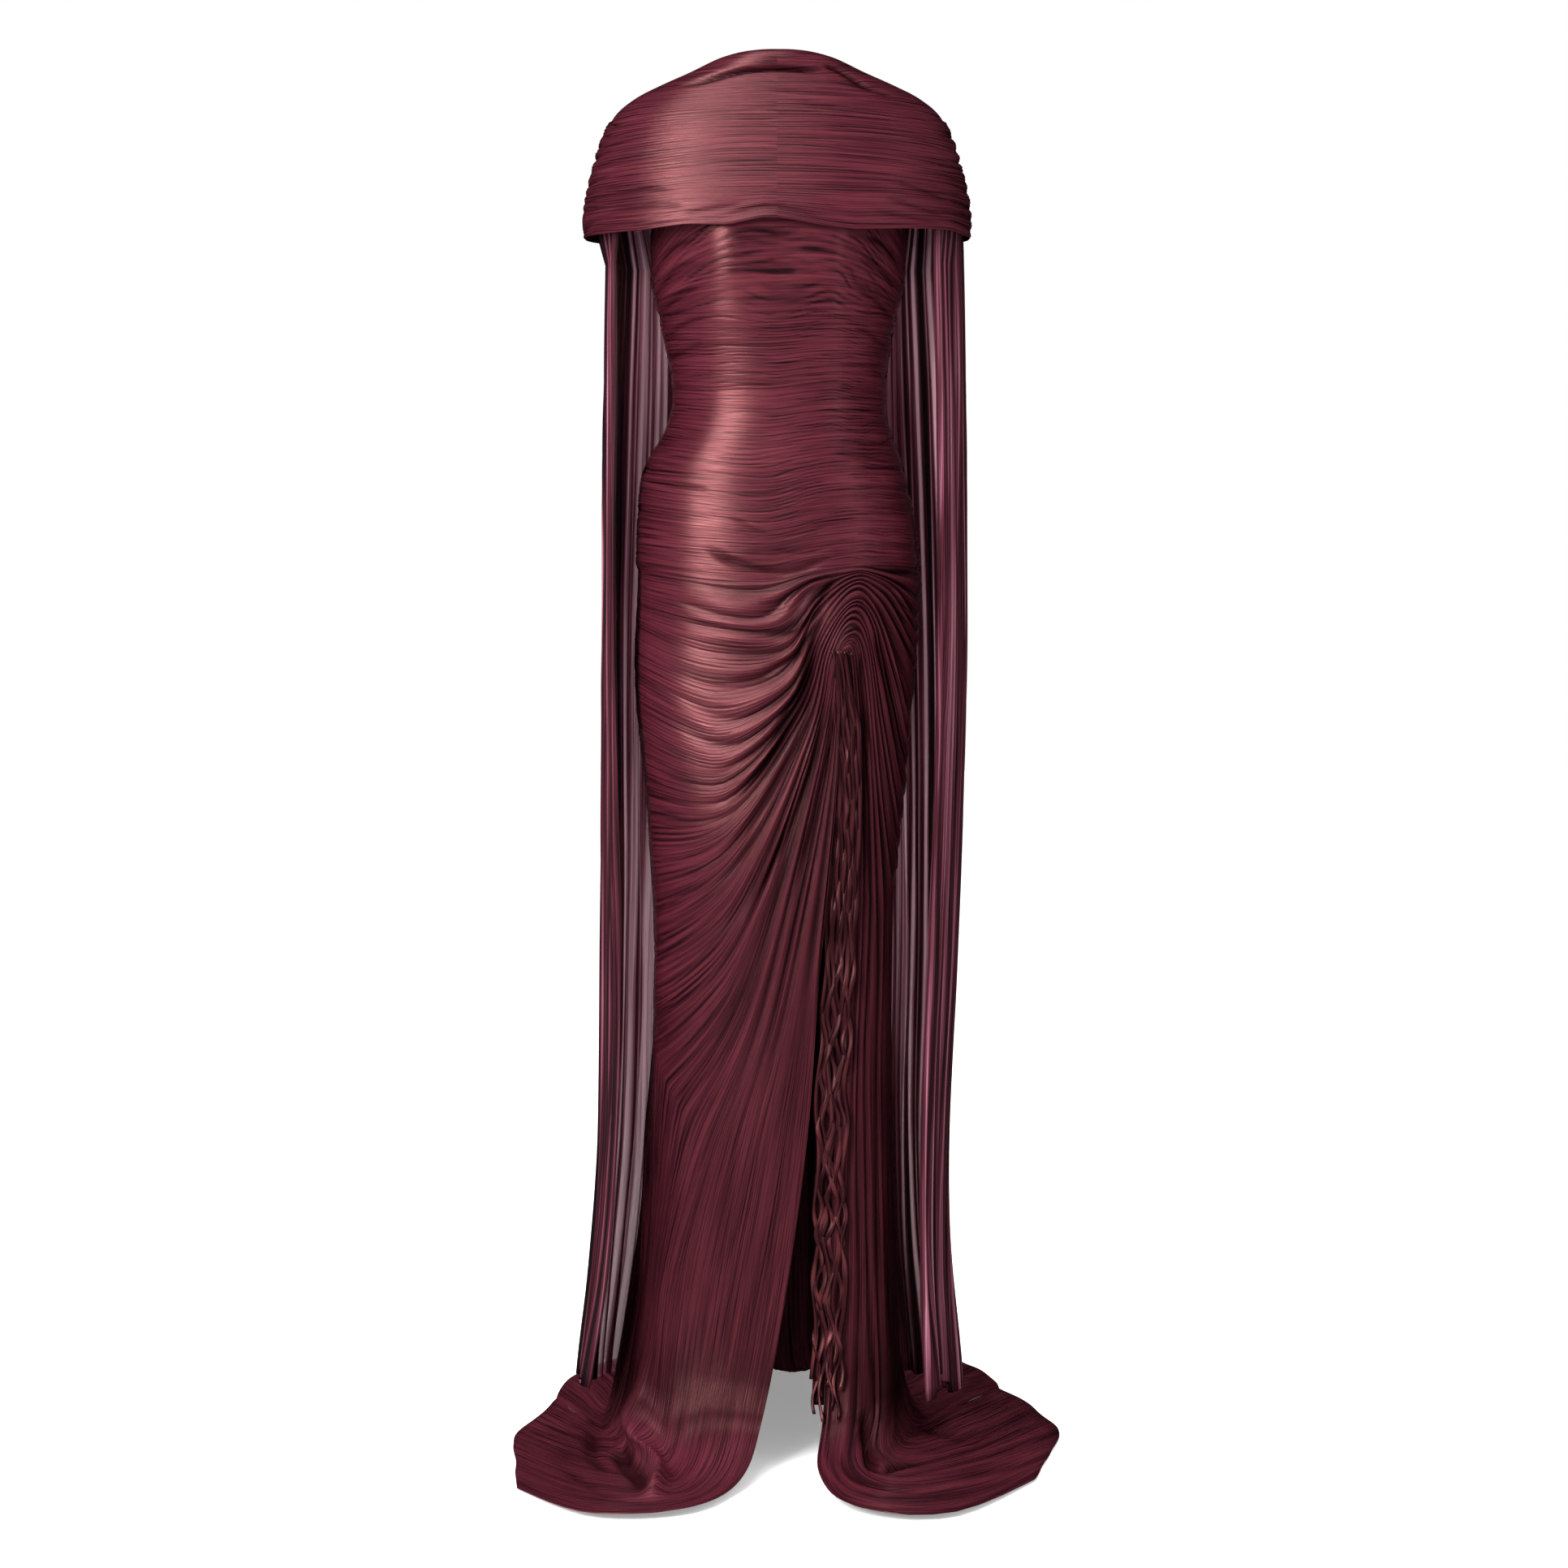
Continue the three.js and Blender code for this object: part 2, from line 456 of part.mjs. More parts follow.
function bodiceBack() {
  const rows = pleats.bodiceBack * 2;
  const cols = 10;
  const base = (i, j) => {
    const t = i / rows;
    const across = -Math.cos((Math.PI * j) / cols);
    const onTop = 1 - Math.abs(across) ** 3;
    let z = mix(hipSeam + seamGap / 2, 1440, t);
    const x = middle(z) + halfWidth(z) * across;
    let y = depthAt(x, z, 'back') + seamGap / 2;
    const held = insideBandAt(bodiceTopRow, Math.max(-110, Math.min(110, x)), 'back');
    z = mix(z, held.z, ease(0.72, 1, t) * onTop);
    y = mix(y, held.y - 0.9, ease(0.8, 1, t) * ease(0.55, 0.95, onTop));
    return new THREE.Vector3(x, y, z);
  };
  const normal = (i, j) => {
    if (j === 0 || j === cols) return new THREE.Vector3(j === 0 ? -1 : 1, 0, 0);
    if (i > 0) return null;
    const p = base(0, j);
    return bodyNormal(p.x, p.z, 'back').setZ(0).normalize();
  };
  const lift = (i) => 0.4 + 2.4 * (i % 2) * (1 - ease(0.8, 0.92, i / rows));
  return clothWall({ rows, cols, base, lift, normal, turn: 1 });
}

// Skirt back with its part of the train: soft folds that fall from the hip seam and fan out behind
function skirtBack() {
  const splitRow = Math.round(split * pleats.skirtFront * 2);
  const seam = (side) => {
    const line = side < 0
      ? skirt.points[splitRow].slice(lastUpper)
      : skirt.points[splitRow].slice(0, firstUpper + 1).reverse();
    const edgeHeight = line[0].z;
    const above = side < 0 ? [1046, 900, 760, 640] : [1046, 960, 870, 780];
    const upper = above.map((z) => new THREE.Vector3(side < 0 ? -size(z, 'left') : size(z, 'right'), 0, z));
    upper[0].z = hipSeam;
    return upper.filter((p) => p.z > edgeHeight).concat(line.map((p) => p.clone()));
  };
  const [left, right] = [seam(-1), seam(1)];
  const rows = 14;
  const normalsOf = (line, side) => line.map((p, k) => (
    seamNormal(p, line[Math.max(0, k - 1)], line[Math.min(line.length - 1, k + 1)], side)));
  const [leftNormal, rightNormal] = [normalsOf(left, -1), normalsOf(right, 1)];
  // the right seam has one more point than the left: leave out one on its straight stretch
  while (right.length > rows + 1) {
    right.splice(3, 1);
    rightNormal.splice(3, 1);
  }
  while (left.length > rows + 1) {
    left.splice(2, 1);
    leftNormal.splice(2, 1);
  }
  const cols = pleats.skirtBack * 3;
  const edgePoint = (line, normals, i, side) => {
    const tangent = line[Math.min(rows, i + 1)].clone().sub(line[Math.max(0, i - 1)]).normalize();
    const away = tangent.cross(normals[i]).multiplyScalar(side < 0 ? 1 : -1);
    const bend = ease(100, 45, line[i].z) * ease(8, 25, line[i].z); // the seam turns onto the floor here
    return line[i].clone().addScaledVector(away, seamGap + bend);
  };
  const base = (i, j) => {
    const c = j / cols;
    if (j === 0) return edgePoint(left, leftNormal, i, -1);
    if (j === cols) return edgePoint(right, rightNormal, i, 1);
    const [a, b] = [left[i], right[i]];
    const t = i / rows;
    const back = vec(['x', 'y', 'z'].map((axis) => smooth(backLines, 't', t, (row) => row[axis])));
    const angle = Math.PI * c;
    const round = Math.sin(angle) ** (2 / plump);
    const level = mix(a.z, b.z, c);
    const x = mix(a.x, b.x, (1 - Math.cos(angle)) / 2) + back.x * round;
    const y = mix(a.y, b.y, c) * (1 - round) + back.y * round;
    return new THREE.Vector3(x, y, mix(level, back.z, Math.sin(angle) ** 0.8));
  };
  const normal = (i, j) => {
    if (j === 0) return leftNormal[i];
    if (j === cols) return rightNormal[i];
    if (i > 0) return null;
    const p = base(0, j);
    return bodyNormal(p.x, p.z, 'back').setZ(0).normalize();
  };
  const fold = (i, j) => {
    const onFloor = mix(1, 0.4, ease(0.56, 0.74, i / rows));
    const open = ease(0, 0.35, i / rows) * ease(0, 3, j) * ease(0, 3, cols - j) * onFloor;
    return 7 * open * Math.cos((2 * Math.PI * j) / 3 + 0.5 * Math.sin(j)) - 3 * open;
  };
  return clothWall({
    rows, cols, base, normal, step: 1, turn: -1,
    lift: (i, j) => 0.4 + fold(i, j), drop: (i, j) => fold(i, j) - wall,
  });
}

// A wing: sheer cloth folded into upright pleats, seated inside the band
const wingTopRow = 2; // row of the band's inside that carries the wings
function wing(table, side) {
  const cols = pleats.wing * 2;
  const levels = [1400, 1200, 930, 640, 400, 250, 150, 90];
  const rows = levels.length;
  const corners = ['front', 'outer', 'rear', 'back'];
  const base = (i, j) => {
    const c = j / cols;
    if (i === 0) {
      const angle = side * mix(0.3, 0.86, c) * Math.PI;
      const p = insideBand(wingTopRow, angle);
      const inward = new THREE.Vector3(-Math.sin(angle), Math.cos(angle) * 0.6, 0).normalize();
      return p.addScaledVector(inward, 5.4);
    }
    const z = levels[i - 1];
    const plan = corners.map((name) => new THREE.Vector3(
      smooth(table.slice().reverse(), 'z', z, (row) => row[name][0]),
      smooth(table.slice().reverse(), 'z', z, (row) => row[name][1]), z));
    const p = along(plan, c * 3);
    const low = ease(330, 90, z);
    p.z += low * (14 * Math.sin(5.2 * c + 1.2) - 16 * c);
    return p;
  };
  const fold = (i, j) => {
    const z = i === 0 ? 1470 : levels[i - 1];
    const wave = j % 2 ? 1 : -1;
    const uneven = 0.75 + 0.25 * Math.sin(1.7 * j + 0.6);
    return wave * uneven * (i === 0 ? 3 : mix(5.5, 8, ease(400, 90, z)));
  };
  return clothWall({
    rows, cols, base, step: 1, turn: side < 0 ? -1 : 1,
    lift: (i, j) => fold(i, j) + 1.1, drop: (i, j) => fold(i, j) - 1.1,
  });
}

// Narrow twisted ruffle that hangs from the knot over the slit, seated on the right panel's edge
function slitRuffle() {
  const rim = pleats.skirtFront * 2 - 9; // a raised row of the right panel near the slit
  const seat = [];
  for (let j = firstUpper + rightStations.length - 1; j >= 2; j--) {
    const p = skirt.outer[rim][j];
    if (p.z > 50) seat.push(p);
  }
  const perStep = 3;
  const rows = (seat.length - 1) * perStep;
  const cols = 5;
  const width = 36;
  const base = (i, j) => {
    const k = Math.min(seat.length - 2, Math.floor(i / perStep));
    const p = seat[k].clone().lerp(seat[k + 1], i / perStep - k);
    const c = j / cols;
    const t = i / rows;
    const seatY = p.y - seamGap - wall / 2;
    const spread = mix(0.5, 1, ease(0, 0.12, t)) * mix(1, 0.75, ease(0.85, 1, t));
    p.x -= c * width * spread;
    if (j === 0) return p.setY(seatY);
    const clear = Math.min(depthAt(p.x, p.z, 'front'), seatY - 6 * ease(220, 60, p.z)) - 7.5;
    p.y = clear - 3.5 * (1 + Math.sin(10 * Math.PI * t + 5 * c));
    return p;
  };
  return clothWall({
    rows, cols, base, step: 1, turn: -1, lift: () => wall / 2, drop: () => -wall / 2,
    normal: (i, j) => (j === 0 ? new THREE.Vector3(0, -1, 0) : null),
  });
}

// Finishes
const cloth = (color, extra = {}) => (
  new THREE.MeshStandardMaterial({ color, roughness: 0.5, metalness: 0, ...extra }));
const wine = cloth(0x6b2f38);
const deepWine = cloth(0x541d28);
const sheer = cloth(0x5a3641, { transparent: true, opacity: 0.6 });

const dress = new THREE.Group();
function add(name, piece, material) {
  const mesh = new THREE.Mesh(piece.geometry, material);
  mesh.name = name;
  dress.add(mesh);
}
add('shoulder_band', band, wine);
add('bodice_front', bodiceFront(), wine);
add('bodice_back', bodiceBack(), wine);
add('skirt_front', skirt, deepWine);
add('skirt_back', skirtBack(), deepWine);
add('left_wing', wing(leftWing, -1), sheer);
add('right_wing', wing(rightWing, 1), sheer);
add('slit_ruffle', slitRuffle(), wine);
dress.position.z = -shoulderHeight;

export default dress;
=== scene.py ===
import math

import bpy
import numpy as np
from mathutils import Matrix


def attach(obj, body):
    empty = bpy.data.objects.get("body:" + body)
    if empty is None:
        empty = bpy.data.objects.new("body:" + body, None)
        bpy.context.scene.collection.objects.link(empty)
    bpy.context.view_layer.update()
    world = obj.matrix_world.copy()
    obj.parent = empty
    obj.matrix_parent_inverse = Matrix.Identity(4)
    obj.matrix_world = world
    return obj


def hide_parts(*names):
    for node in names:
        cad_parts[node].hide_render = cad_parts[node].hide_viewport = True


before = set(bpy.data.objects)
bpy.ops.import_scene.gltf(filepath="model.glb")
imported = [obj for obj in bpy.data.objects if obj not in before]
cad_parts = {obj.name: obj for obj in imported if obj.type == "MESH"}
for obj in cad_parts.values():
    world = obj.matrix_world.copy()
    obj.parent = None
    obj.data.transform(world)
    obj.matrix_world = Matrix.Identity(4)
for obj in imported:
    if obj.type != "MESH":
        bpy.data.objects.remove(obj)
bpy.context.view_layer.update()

# Lengths are in millimetres above the floor until a mesh is made, and the origin is at shoulder height
shoulderHeight = 1590
body = "root"
satinThickness = 0.9
sheerThickness = 0.5
clothLift = 0.5  # the satin's outer face lies this far outside the figure, and its pleats rise from there

# The general figure that the dress is shaped on: half widths and depths at each height
figure = {
    "z": [20, 125, 260, 400, 516, 620, 715, 790, 850, 930,
          1030, 1100, 1160, 1212, 1255, 1340, 1385, 1440, 1500],
    "left": [178, 174, 164, 153, 148, 147, 152, 157, 164, 169, 165, 163, 156, 128, 121, 137, 147, 150, 138],
    "right": [145, 142, 138, 132, 131, 131, 137, 145, 152, 157, 163, 156, 143, 125, 121, 133, 144, 150, 138],
    "front": [112, 108, 103, 99, 97, 96, 96, 97, 98, 100, 98, 95, 90, 86, 87, 104, 115, 108, 96],
    "back": [200, 170, 140, 120, 108, 102, 102, 106, 111, 116, 112, 102, 88, 78, 77, 88, 95, 98, 94],
    # swellings in front: height, then place and half width across, then place and half height upwards
    "bust": [9, 68, 38, 1385, 42],
    "knot": [13, 79, 42, 962, 58],
}
plump = 2.25  # roundness of the figure's section


def mix(a, b, t):
    return a + (b - a) * t


def ease(low, high, x):
    t = np.clip((np.asarray(x, float) - low) / (high - low), 0, 1)
    return t * t * (3 - 2 * t)


def smooth(keys, values, at):
    # cubic through a table's rows, with slopes from the neighbouring rows
    keys, values = np.asarray(keys, float), np.asarray(values, float)
    last = len(keys) - 1
    x = np.clip(np.asarray(at, float), keys[0], keys[-1])
    k = np.clip(np.searchsorted(keys, x) - 1, 0, last - 1)
    i = np.arange(last + 1)
    a, b = np.maximum(0, i - 1), np.minimum(last, i + 1)
    extra = (1,) * (values.ndim - 1)
    slope = (values[b] - values[a]) / (keys[b] - keys[a]).reshape((-1,) + extra)
    h = (keys[k + 1] - keys[k]).reshape(x.shape + extra)
    t = ((x - keys[k]).reshape(x.shape + extra)) / h
    return ((2 * t**3 - 3 * t**2 + 1) * values[k] + (t**3 - 2 * t**2 + t) * h * slope[k]
            + (3 * t**2 - 2 * t**3) * values[k + 1] + (t**3 - t**2) * h * slope[k + 1])


def softNoise(a, b, seed, period=64):
    # smooth noise from -1 to 1 that repeats along a after one period
    field = np.random.default_rng(seed).uniform(-1, 1, (period, 64))
    ia, ib = np.floor(a).astype(int), np.floor(b).astype(int)
    fa, fb = a - ia, b - ib
    fa, fb = fa * fa * (3 - 2 * fa), fb * fb * (3 - 2 * fb)

    def at(i, j):
        return field[i % period, j % 64]

    return mix(mix(at(ia, ib), at(ia + 1, ib), fa), mix(at(ia, ib + 1), at(ia + 1, ib + 1), fa), fb)


def crest(phase, sharp=1.7):
    # one rounded crest for each pleat, with a narrow valley between two
    return 1 - np.abs(2 * (phase - np.floor(phase)) - 1) ** sharp


def sizeAt(z, side):
    return smooth(figure["z"], figure[side], z)


def middleAt(z):
    return (sizeAt(z, "right") - sizeAt(z, "left")) / 2


def halfWidthAt(z):
    return (sizeAt(z, "right") + sizeAt(z, "left")) / 2


def swelling(x, z, row):
    height, atX, wide, atZ, tall = row
    return height * np.exp(-(((x - atX) / wide) ** 2) - ((z - atZ) / tall) ** 2)


def depthAt(x, z, side):
    across = np.minimum(1, np.abs((x - middleAt(z)) / halfWidthAt(z)))
    roundness = (1 - across**plump) ** (1 / plump)
    if side == "back":
        return sizeAt(z, "back") * roundness
    bust = swelling(np.abs(x), z, figure["bust"])
    knot = swelling(x, z, figure["knot"])
    return -(sizeAt(z, "front") + bust + knot) * roundness


def along(path, station, corner=-1, roundness=1.0):
    # point at a station of a curve through a list of points, for many curves at once
    last = len(path) - 1
    k = min(last - 1, max(0, math.floor(station)))
    t = station - k
    a, b, c, d = (path[min(last, max(0, i))] for i in (k - 1, k, k + 1, k + 2))
    soft = np.reshape(roundness, (-1, 1))
    m1 = (c - a) / 2 * (soft if k == corner else 1)
    m2 = (d - b) / 2 * (soft if k + 1 == corner else 1)
    return ((2 * t**3 - 3 * t**2 + 1) * b + (t**3 - 2 * t**2 + t) * m1
            + (3 * t**2 - 2 * t**3) * c + (t**3 - t**2) * m2)


def normalsOf(points, sign=1, wrap=False):
    down = np.gradient(points, axis=0)
    across = (np.roll(points, -1, 1) - np.roll(points, 1, 1)) / 2 if wrap else np.gradient(points, axis=1)
    n = sign * np.cross(down, across)
    return n / np.maximum(1e-9, np.linalg.norm(n, axis=2, keepdims=True))


def lengthAlong(points, axis):
    # running length of the grid's lines, in metres, for the cloth's own coordinates
    step = np.linalg.norm(np.diff(points, axis=axis), axis=2)
    zero = np.zeros_like(np.take(step, [0], axis=axis))
    return np.concatenate([zero, np.cumsum(step, axis=axis)], axis=axis) / 1000


def pleatRelief(phase, place, seed, narrow=2.0, least=0.2):
    # 1 on the crest of each pleat; each valley deepens and fades along its own length
    valley = np.round(phase)
    depth = mix(least, 1, ease(-0.3, 0.55, softNoise(place, valley * 1.37 + 0.5, seed)))
    return 1 - depth * np.abs(2 * (phase - np.floor(phase)) - 1) ** narrow


def dent(height, width, *path, below=1700, start=0.2, end=0.3):
    # a listed crease: height, or depth under 0, half width, and the bends of its path;
    # it acts under the height below, and fades in and out over the shares start and end of its length
    return {"height": height, "width": width, "path": path, "below": below, "start": start, "end": end}


def creaseLift(points, creases, axes=(0, 2)):
    # soft troughs and ridges along the creases, whose paths are drawn in the two given axes
    lift = np.zeros(points.shape[:2])
    flat = points[..., list(axes)]
    for crease in creases:
        path = np.array(crease["path"], float)
        line = smooth(np.arange(len(path)), path, np.linspace(0, len(path) - 1, 10 * len(path)))
        reach = 3 * crease["width"]
        near = np.all((flat > line.min(0) - reach) & (flat < line.max(0) + reach), 2)
        near &= points[..., 2] < crease["below"]
        gap = np.linalg.norm(flat[near][:, None] - line[None], axis=2)
        share = gap.argmin(1) / (len(line) - 1)
        fade = ease(0, crease["start"], share) * ease(0, crease["end"], 1 - share)
        lift[near] += crease["height"] * fade * np.exp(-((gap.min(1) / crease["width"]) ** 2))
    return lift


def clothMesh(name, grids, sign):
    # joins grids of points into one mesh; a grid that joins an earlier one takes its last row from there
    verts, faces, loopUv, rise, paintedShading, count = [], [], [], [], [], 0
    for grid in grids:
        points, uv = grid["points"], grid["uv"]
        own = points[:-1] if "joins" in grid else points
        ids = np.arange(own.shape[0] * own.shape[1]).reshape(own.shape[:2]) + count
        count += ids.size
        verts.append(own.reshape(-1, 3))
        rise.append(grid["rise"][:len(own)].reshape(-1))
        paintedShading.append(grid["paintedShading"][:len(own)].reshape(-1))
        if "joins" in grid:
            ids = np.concatenate([ids, grid["joins"][None, :]], 0)
        if grid.get("wrap"):
            ids = np.concatenate([ids, ids[:, :1]], 1)
        corners = [(slice(0, -1), slice(0, -1)), (slice(1, None), slice(0, -1)),
                   (slice(1, None), slice(1, None)), (slice(0, -1), slice(1, None))]
        if sign < 0:
            corners.reverse()
        faces.append(np.stack([ids[c] for c in corners], -1).reshape(-1, 4))
        loopUv.append(np.stack([uv[c] for c in corners], -2).reshape(-1, 2))
    verts = np.concatenate(verts) / 1000
    verts[:, 2] -= shoulderHeight / 1000
    mesh = bpy.data.meshes.new(name)
    mesh.from_pydata(verts.tolist(), [], np.concatenate(faces).tolist())
    layer = mesh.uv_layers.new(name="cloth")
    layer.data.foreach_set("uv", np.concatenate(loopUv).reshape(-1).astype(np.float32))
    # rise picks each point's place on the colour ramp, and painted shading scales the colour's brightness:
    # painted light and shade
    for attribute, values in (("rise", rise), ("paintedShading", paintedShading)):
        data = mesh.attributes.new(attribute, "FLOAT", "POINT").data
        data.foreach_set("value", np.concatenate(values).astype(np.float32))
    mesh.shade_smooth()
    return mesh


def dressPiece(name, mesh, node, material, thickness):
    piece = bpy.data.objects.new(name, mesh)
    bpy.context.collection.objects.link(piece)
    solidify = piece.modifiers.new("cloth", "SOLIDIFY")
    solidify.thickness = thickness / 1000
    solidify.offset = -1
    mesh.materials.append(material)
    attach(piece, body)
    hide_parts(node)
    area = sum(p.area for p in mesh.polygons)
    print(f"{name}: {len(mesh.polygons)} faces, {area:.2f} square metres")
    return piece


# Materials
def linear(hexColor, alpha=1.0):
    parts = [int(hexColor[i:i + 2], 16) / 255 for i in (1, 3, 5)]
    return tuple(c / 12.92 if c <= 0.04045 else ((c + 0.055) / 1.055) ** 2.4 for c in parts) + (alpha,)


def addNode(tree, kind, settings=None, links=None):
    node = tree.nodes.new(kind)
    for key, value in (settings or {}).items():
        if isinstance(key, int) or key in node.inputs:
            node.inputs[key].default_value = value
        else:
            setattr(node, key, value)
    for key, source in (links or {}).items():
        tree.links.new(source, node.inputs[key])
    return node


plisse = {
    "valley": "#12050a",      # shadowed bottom of a pleat
    "flank": "#330f18",       # the cloth's own wine red
    "crest": "#471922",       # painted light on the rounded top of a pleat
    "lineMm": 2.3,            # finest pressed lines inside each pleat
    "threadMm": 0.9,          # satin threads are 0.1 mm apart; drawn nine times as coarse so that they show
    "lineDepthMm": 0.6,
    "gleam": "#f2a2a0",       # the satin's own reflection
    "roughness": 0.34,
    "stretch": 0.65,          # how far its highlights run along the threads
}
rufflePaintedShadeLook = {**plisse, "flank": "#230b11", "crest": "#3a171a"}  # painted shade: darker colours, as the ribbons lie in shade


def plisseSatin(name, look):
    # Polyester satin, heat-pleated: long soft highlights across the pleats and near-black valleys
    material = bpy.data.materials.new(name)
    material.use_nodes = True
    tree = material.node_tree
    tree.nodes.clear()
    uv = addNode(tree, "ShaderNodeUVMap", {"uv_map": "cloth"})
    lineScale = addNode(tree, "ShaderNodeMapping", {"Scale": (7, 1000 / look["lineMm"], 1)},
                        {"Vector": uv.outputs[0]})
    line = addNode(tree, "ShaderNodeTexNoise", {"Scale": 1.0, "Detail": 3.0, "Roughness": 0.6},
                   {"Vector": lineScale.outputs[0]})
    threadScale = addNode(tree, "ShaderNodeMapping", {"Scale": (45, 1000 / look["threadMm"], 1)},
                          {"Vector": uv.outputs[0]})
    thread = addNode(tree, "ShaderNodeTexNoise", {"Scale": 1.0, "Detail": 2.0, "Roughness": 0.5},
                     {"Vector": threadScale.outputs[0]})
    patchScale = addNode(tree, "ShaderNodeMapping", {"Scale": (8, 22, 1)}, {"Vector": uv.outputs[0]})
    patch = addNode(tree, "ShaderNodeTexNoise", {"Scale": 1.0, "Detail": 3.0},
                    {"Vector": patchScale.outputs[0]})
    rise = addNode(tree, "ShaderNodeAttribute", {"attribute_name": "rise"})
    paintedShading = addNode(tree, "ShaderNodeAttribute", {"attribute_name": "paintedShading"})
    lines = addNode(tree, "ShaderNodeMath", {"operation": "MULTIPLY_ADD", 1: 2.6, 2: -1.34},
                    {0: line.outputs["Fac"]})
    height = addNode(tree, "ShaderNodeMath", {"operation": "ADD"},
                     {0: rise.outputs["Fac"], 1: lines.outputs[0]})
    # the ramp paints shade into the pleats' valleys and light onto their crests
    ramp = addNode(tree, "ShaderNodeValToRGB", {}, {"Fac": height.outputs[0]})
    ramp.color_ramp.elements[0].position = 0.1
    ramp.color_ramp.elements[0].color = linear(look["valley"])
    ramp.color_ramp.elements[1].position = 1.0
    ramp.color_ramp.elements[1].color = linear(look["crest"])
    middle = ramp.color_ramp.elements.new(0.55)
    middle.color = linear(look["flank"])
    tone = addNode(tree, "ShaderNodeMapRange",
                   {"From Min": 0.3, "From Max": 0.7, "To Min": 0.86, "To Max": 1.14},
                   {"Value": patch.outputs["Fac"]})
    # random patches of tone times the painted shading, which paints light and shade into the colour and
    # scales the satin's gleam
    depth = addNode(tree, "ShaderNodeMath", {"operation": "MULTIPLY"},
                    {0: tone.outputs[0], 1: paintedShading.outputs["Fac"]})
    color = addNode(tree, "ShaderNodeHueSaturation", {"Hue": 0.5, "Saturation": 1.0},
                    {"Color": ramp.outputs[0], "Value": depth.outputs[0]})
    rough = addNode(tree, "ShaderNodeMapRange",
                    {"From Min": 0.3, "From Max": 0.7,
                     "To Min": look["roughness"] - 0.08, "To Max": look["roughness"] + 0.1},
                    {"Value": thread.outputs["Fac"]})
    gleam = addNode(tree, "ShaderNodeMath", {"operation": "MULTIPLY", 1: 0.5, "use_clamp": True},
                    {0: depth.outputs[0]})
    fine = addNode(tree, "ShaderNodeMath", {"operation": "MULTIPLY_ADD", 1: 0.25},
                   {0: thread.outputs["Fac"], 2: line.outputs["Fac"]})
    bump = addNode(tree, "ShaderNodeBump", {"Strength": 0.8, "Distance": look["lineDepthMm"] / 1000},
                   {"Height": fine.outputs[0]})
    along = addNode(tree, "ShaderNodeTangent", {"direction_type": "UV_MAP", "uv_map": "cloth"})
    cloth = addNode(tree, "ShaderNodeBsdfPrincipled",
                    {"Metallic": 0.0, "IOR": 1.5, "Specular Tint": linear(look["gleam"]),
                     "Anisotropic": look["stretch"], "Anisotropic Rotation": 0.25},
                    {"Base Color": color.outputs[0], "Roughness": rough.outputs[0], "Normal": bump.outputs[0],
                     "Specular IOR Level": gleam.outputs[0], "Tangent": along.outputs[0]})
    addNode(tree, "ShaderNodeOutputMaterial", {}, {"Surface": cloth.outputs[0]})
    return material


chiffon = {
    "black": "#120a0e",       # painted shade: the dark between two strips
    "wine": "#431722",        # several layers of sheer cloth seen together
    "mauve": "#7c4858",
    "pale": "#b88f9b",        # a single layer with the light behind it
    "stripMm": 5.5,           # fine upright strips where the pleats press together
    "crinkleMm": 1.6,
    "crinkleDepthMm": 0.5,
}


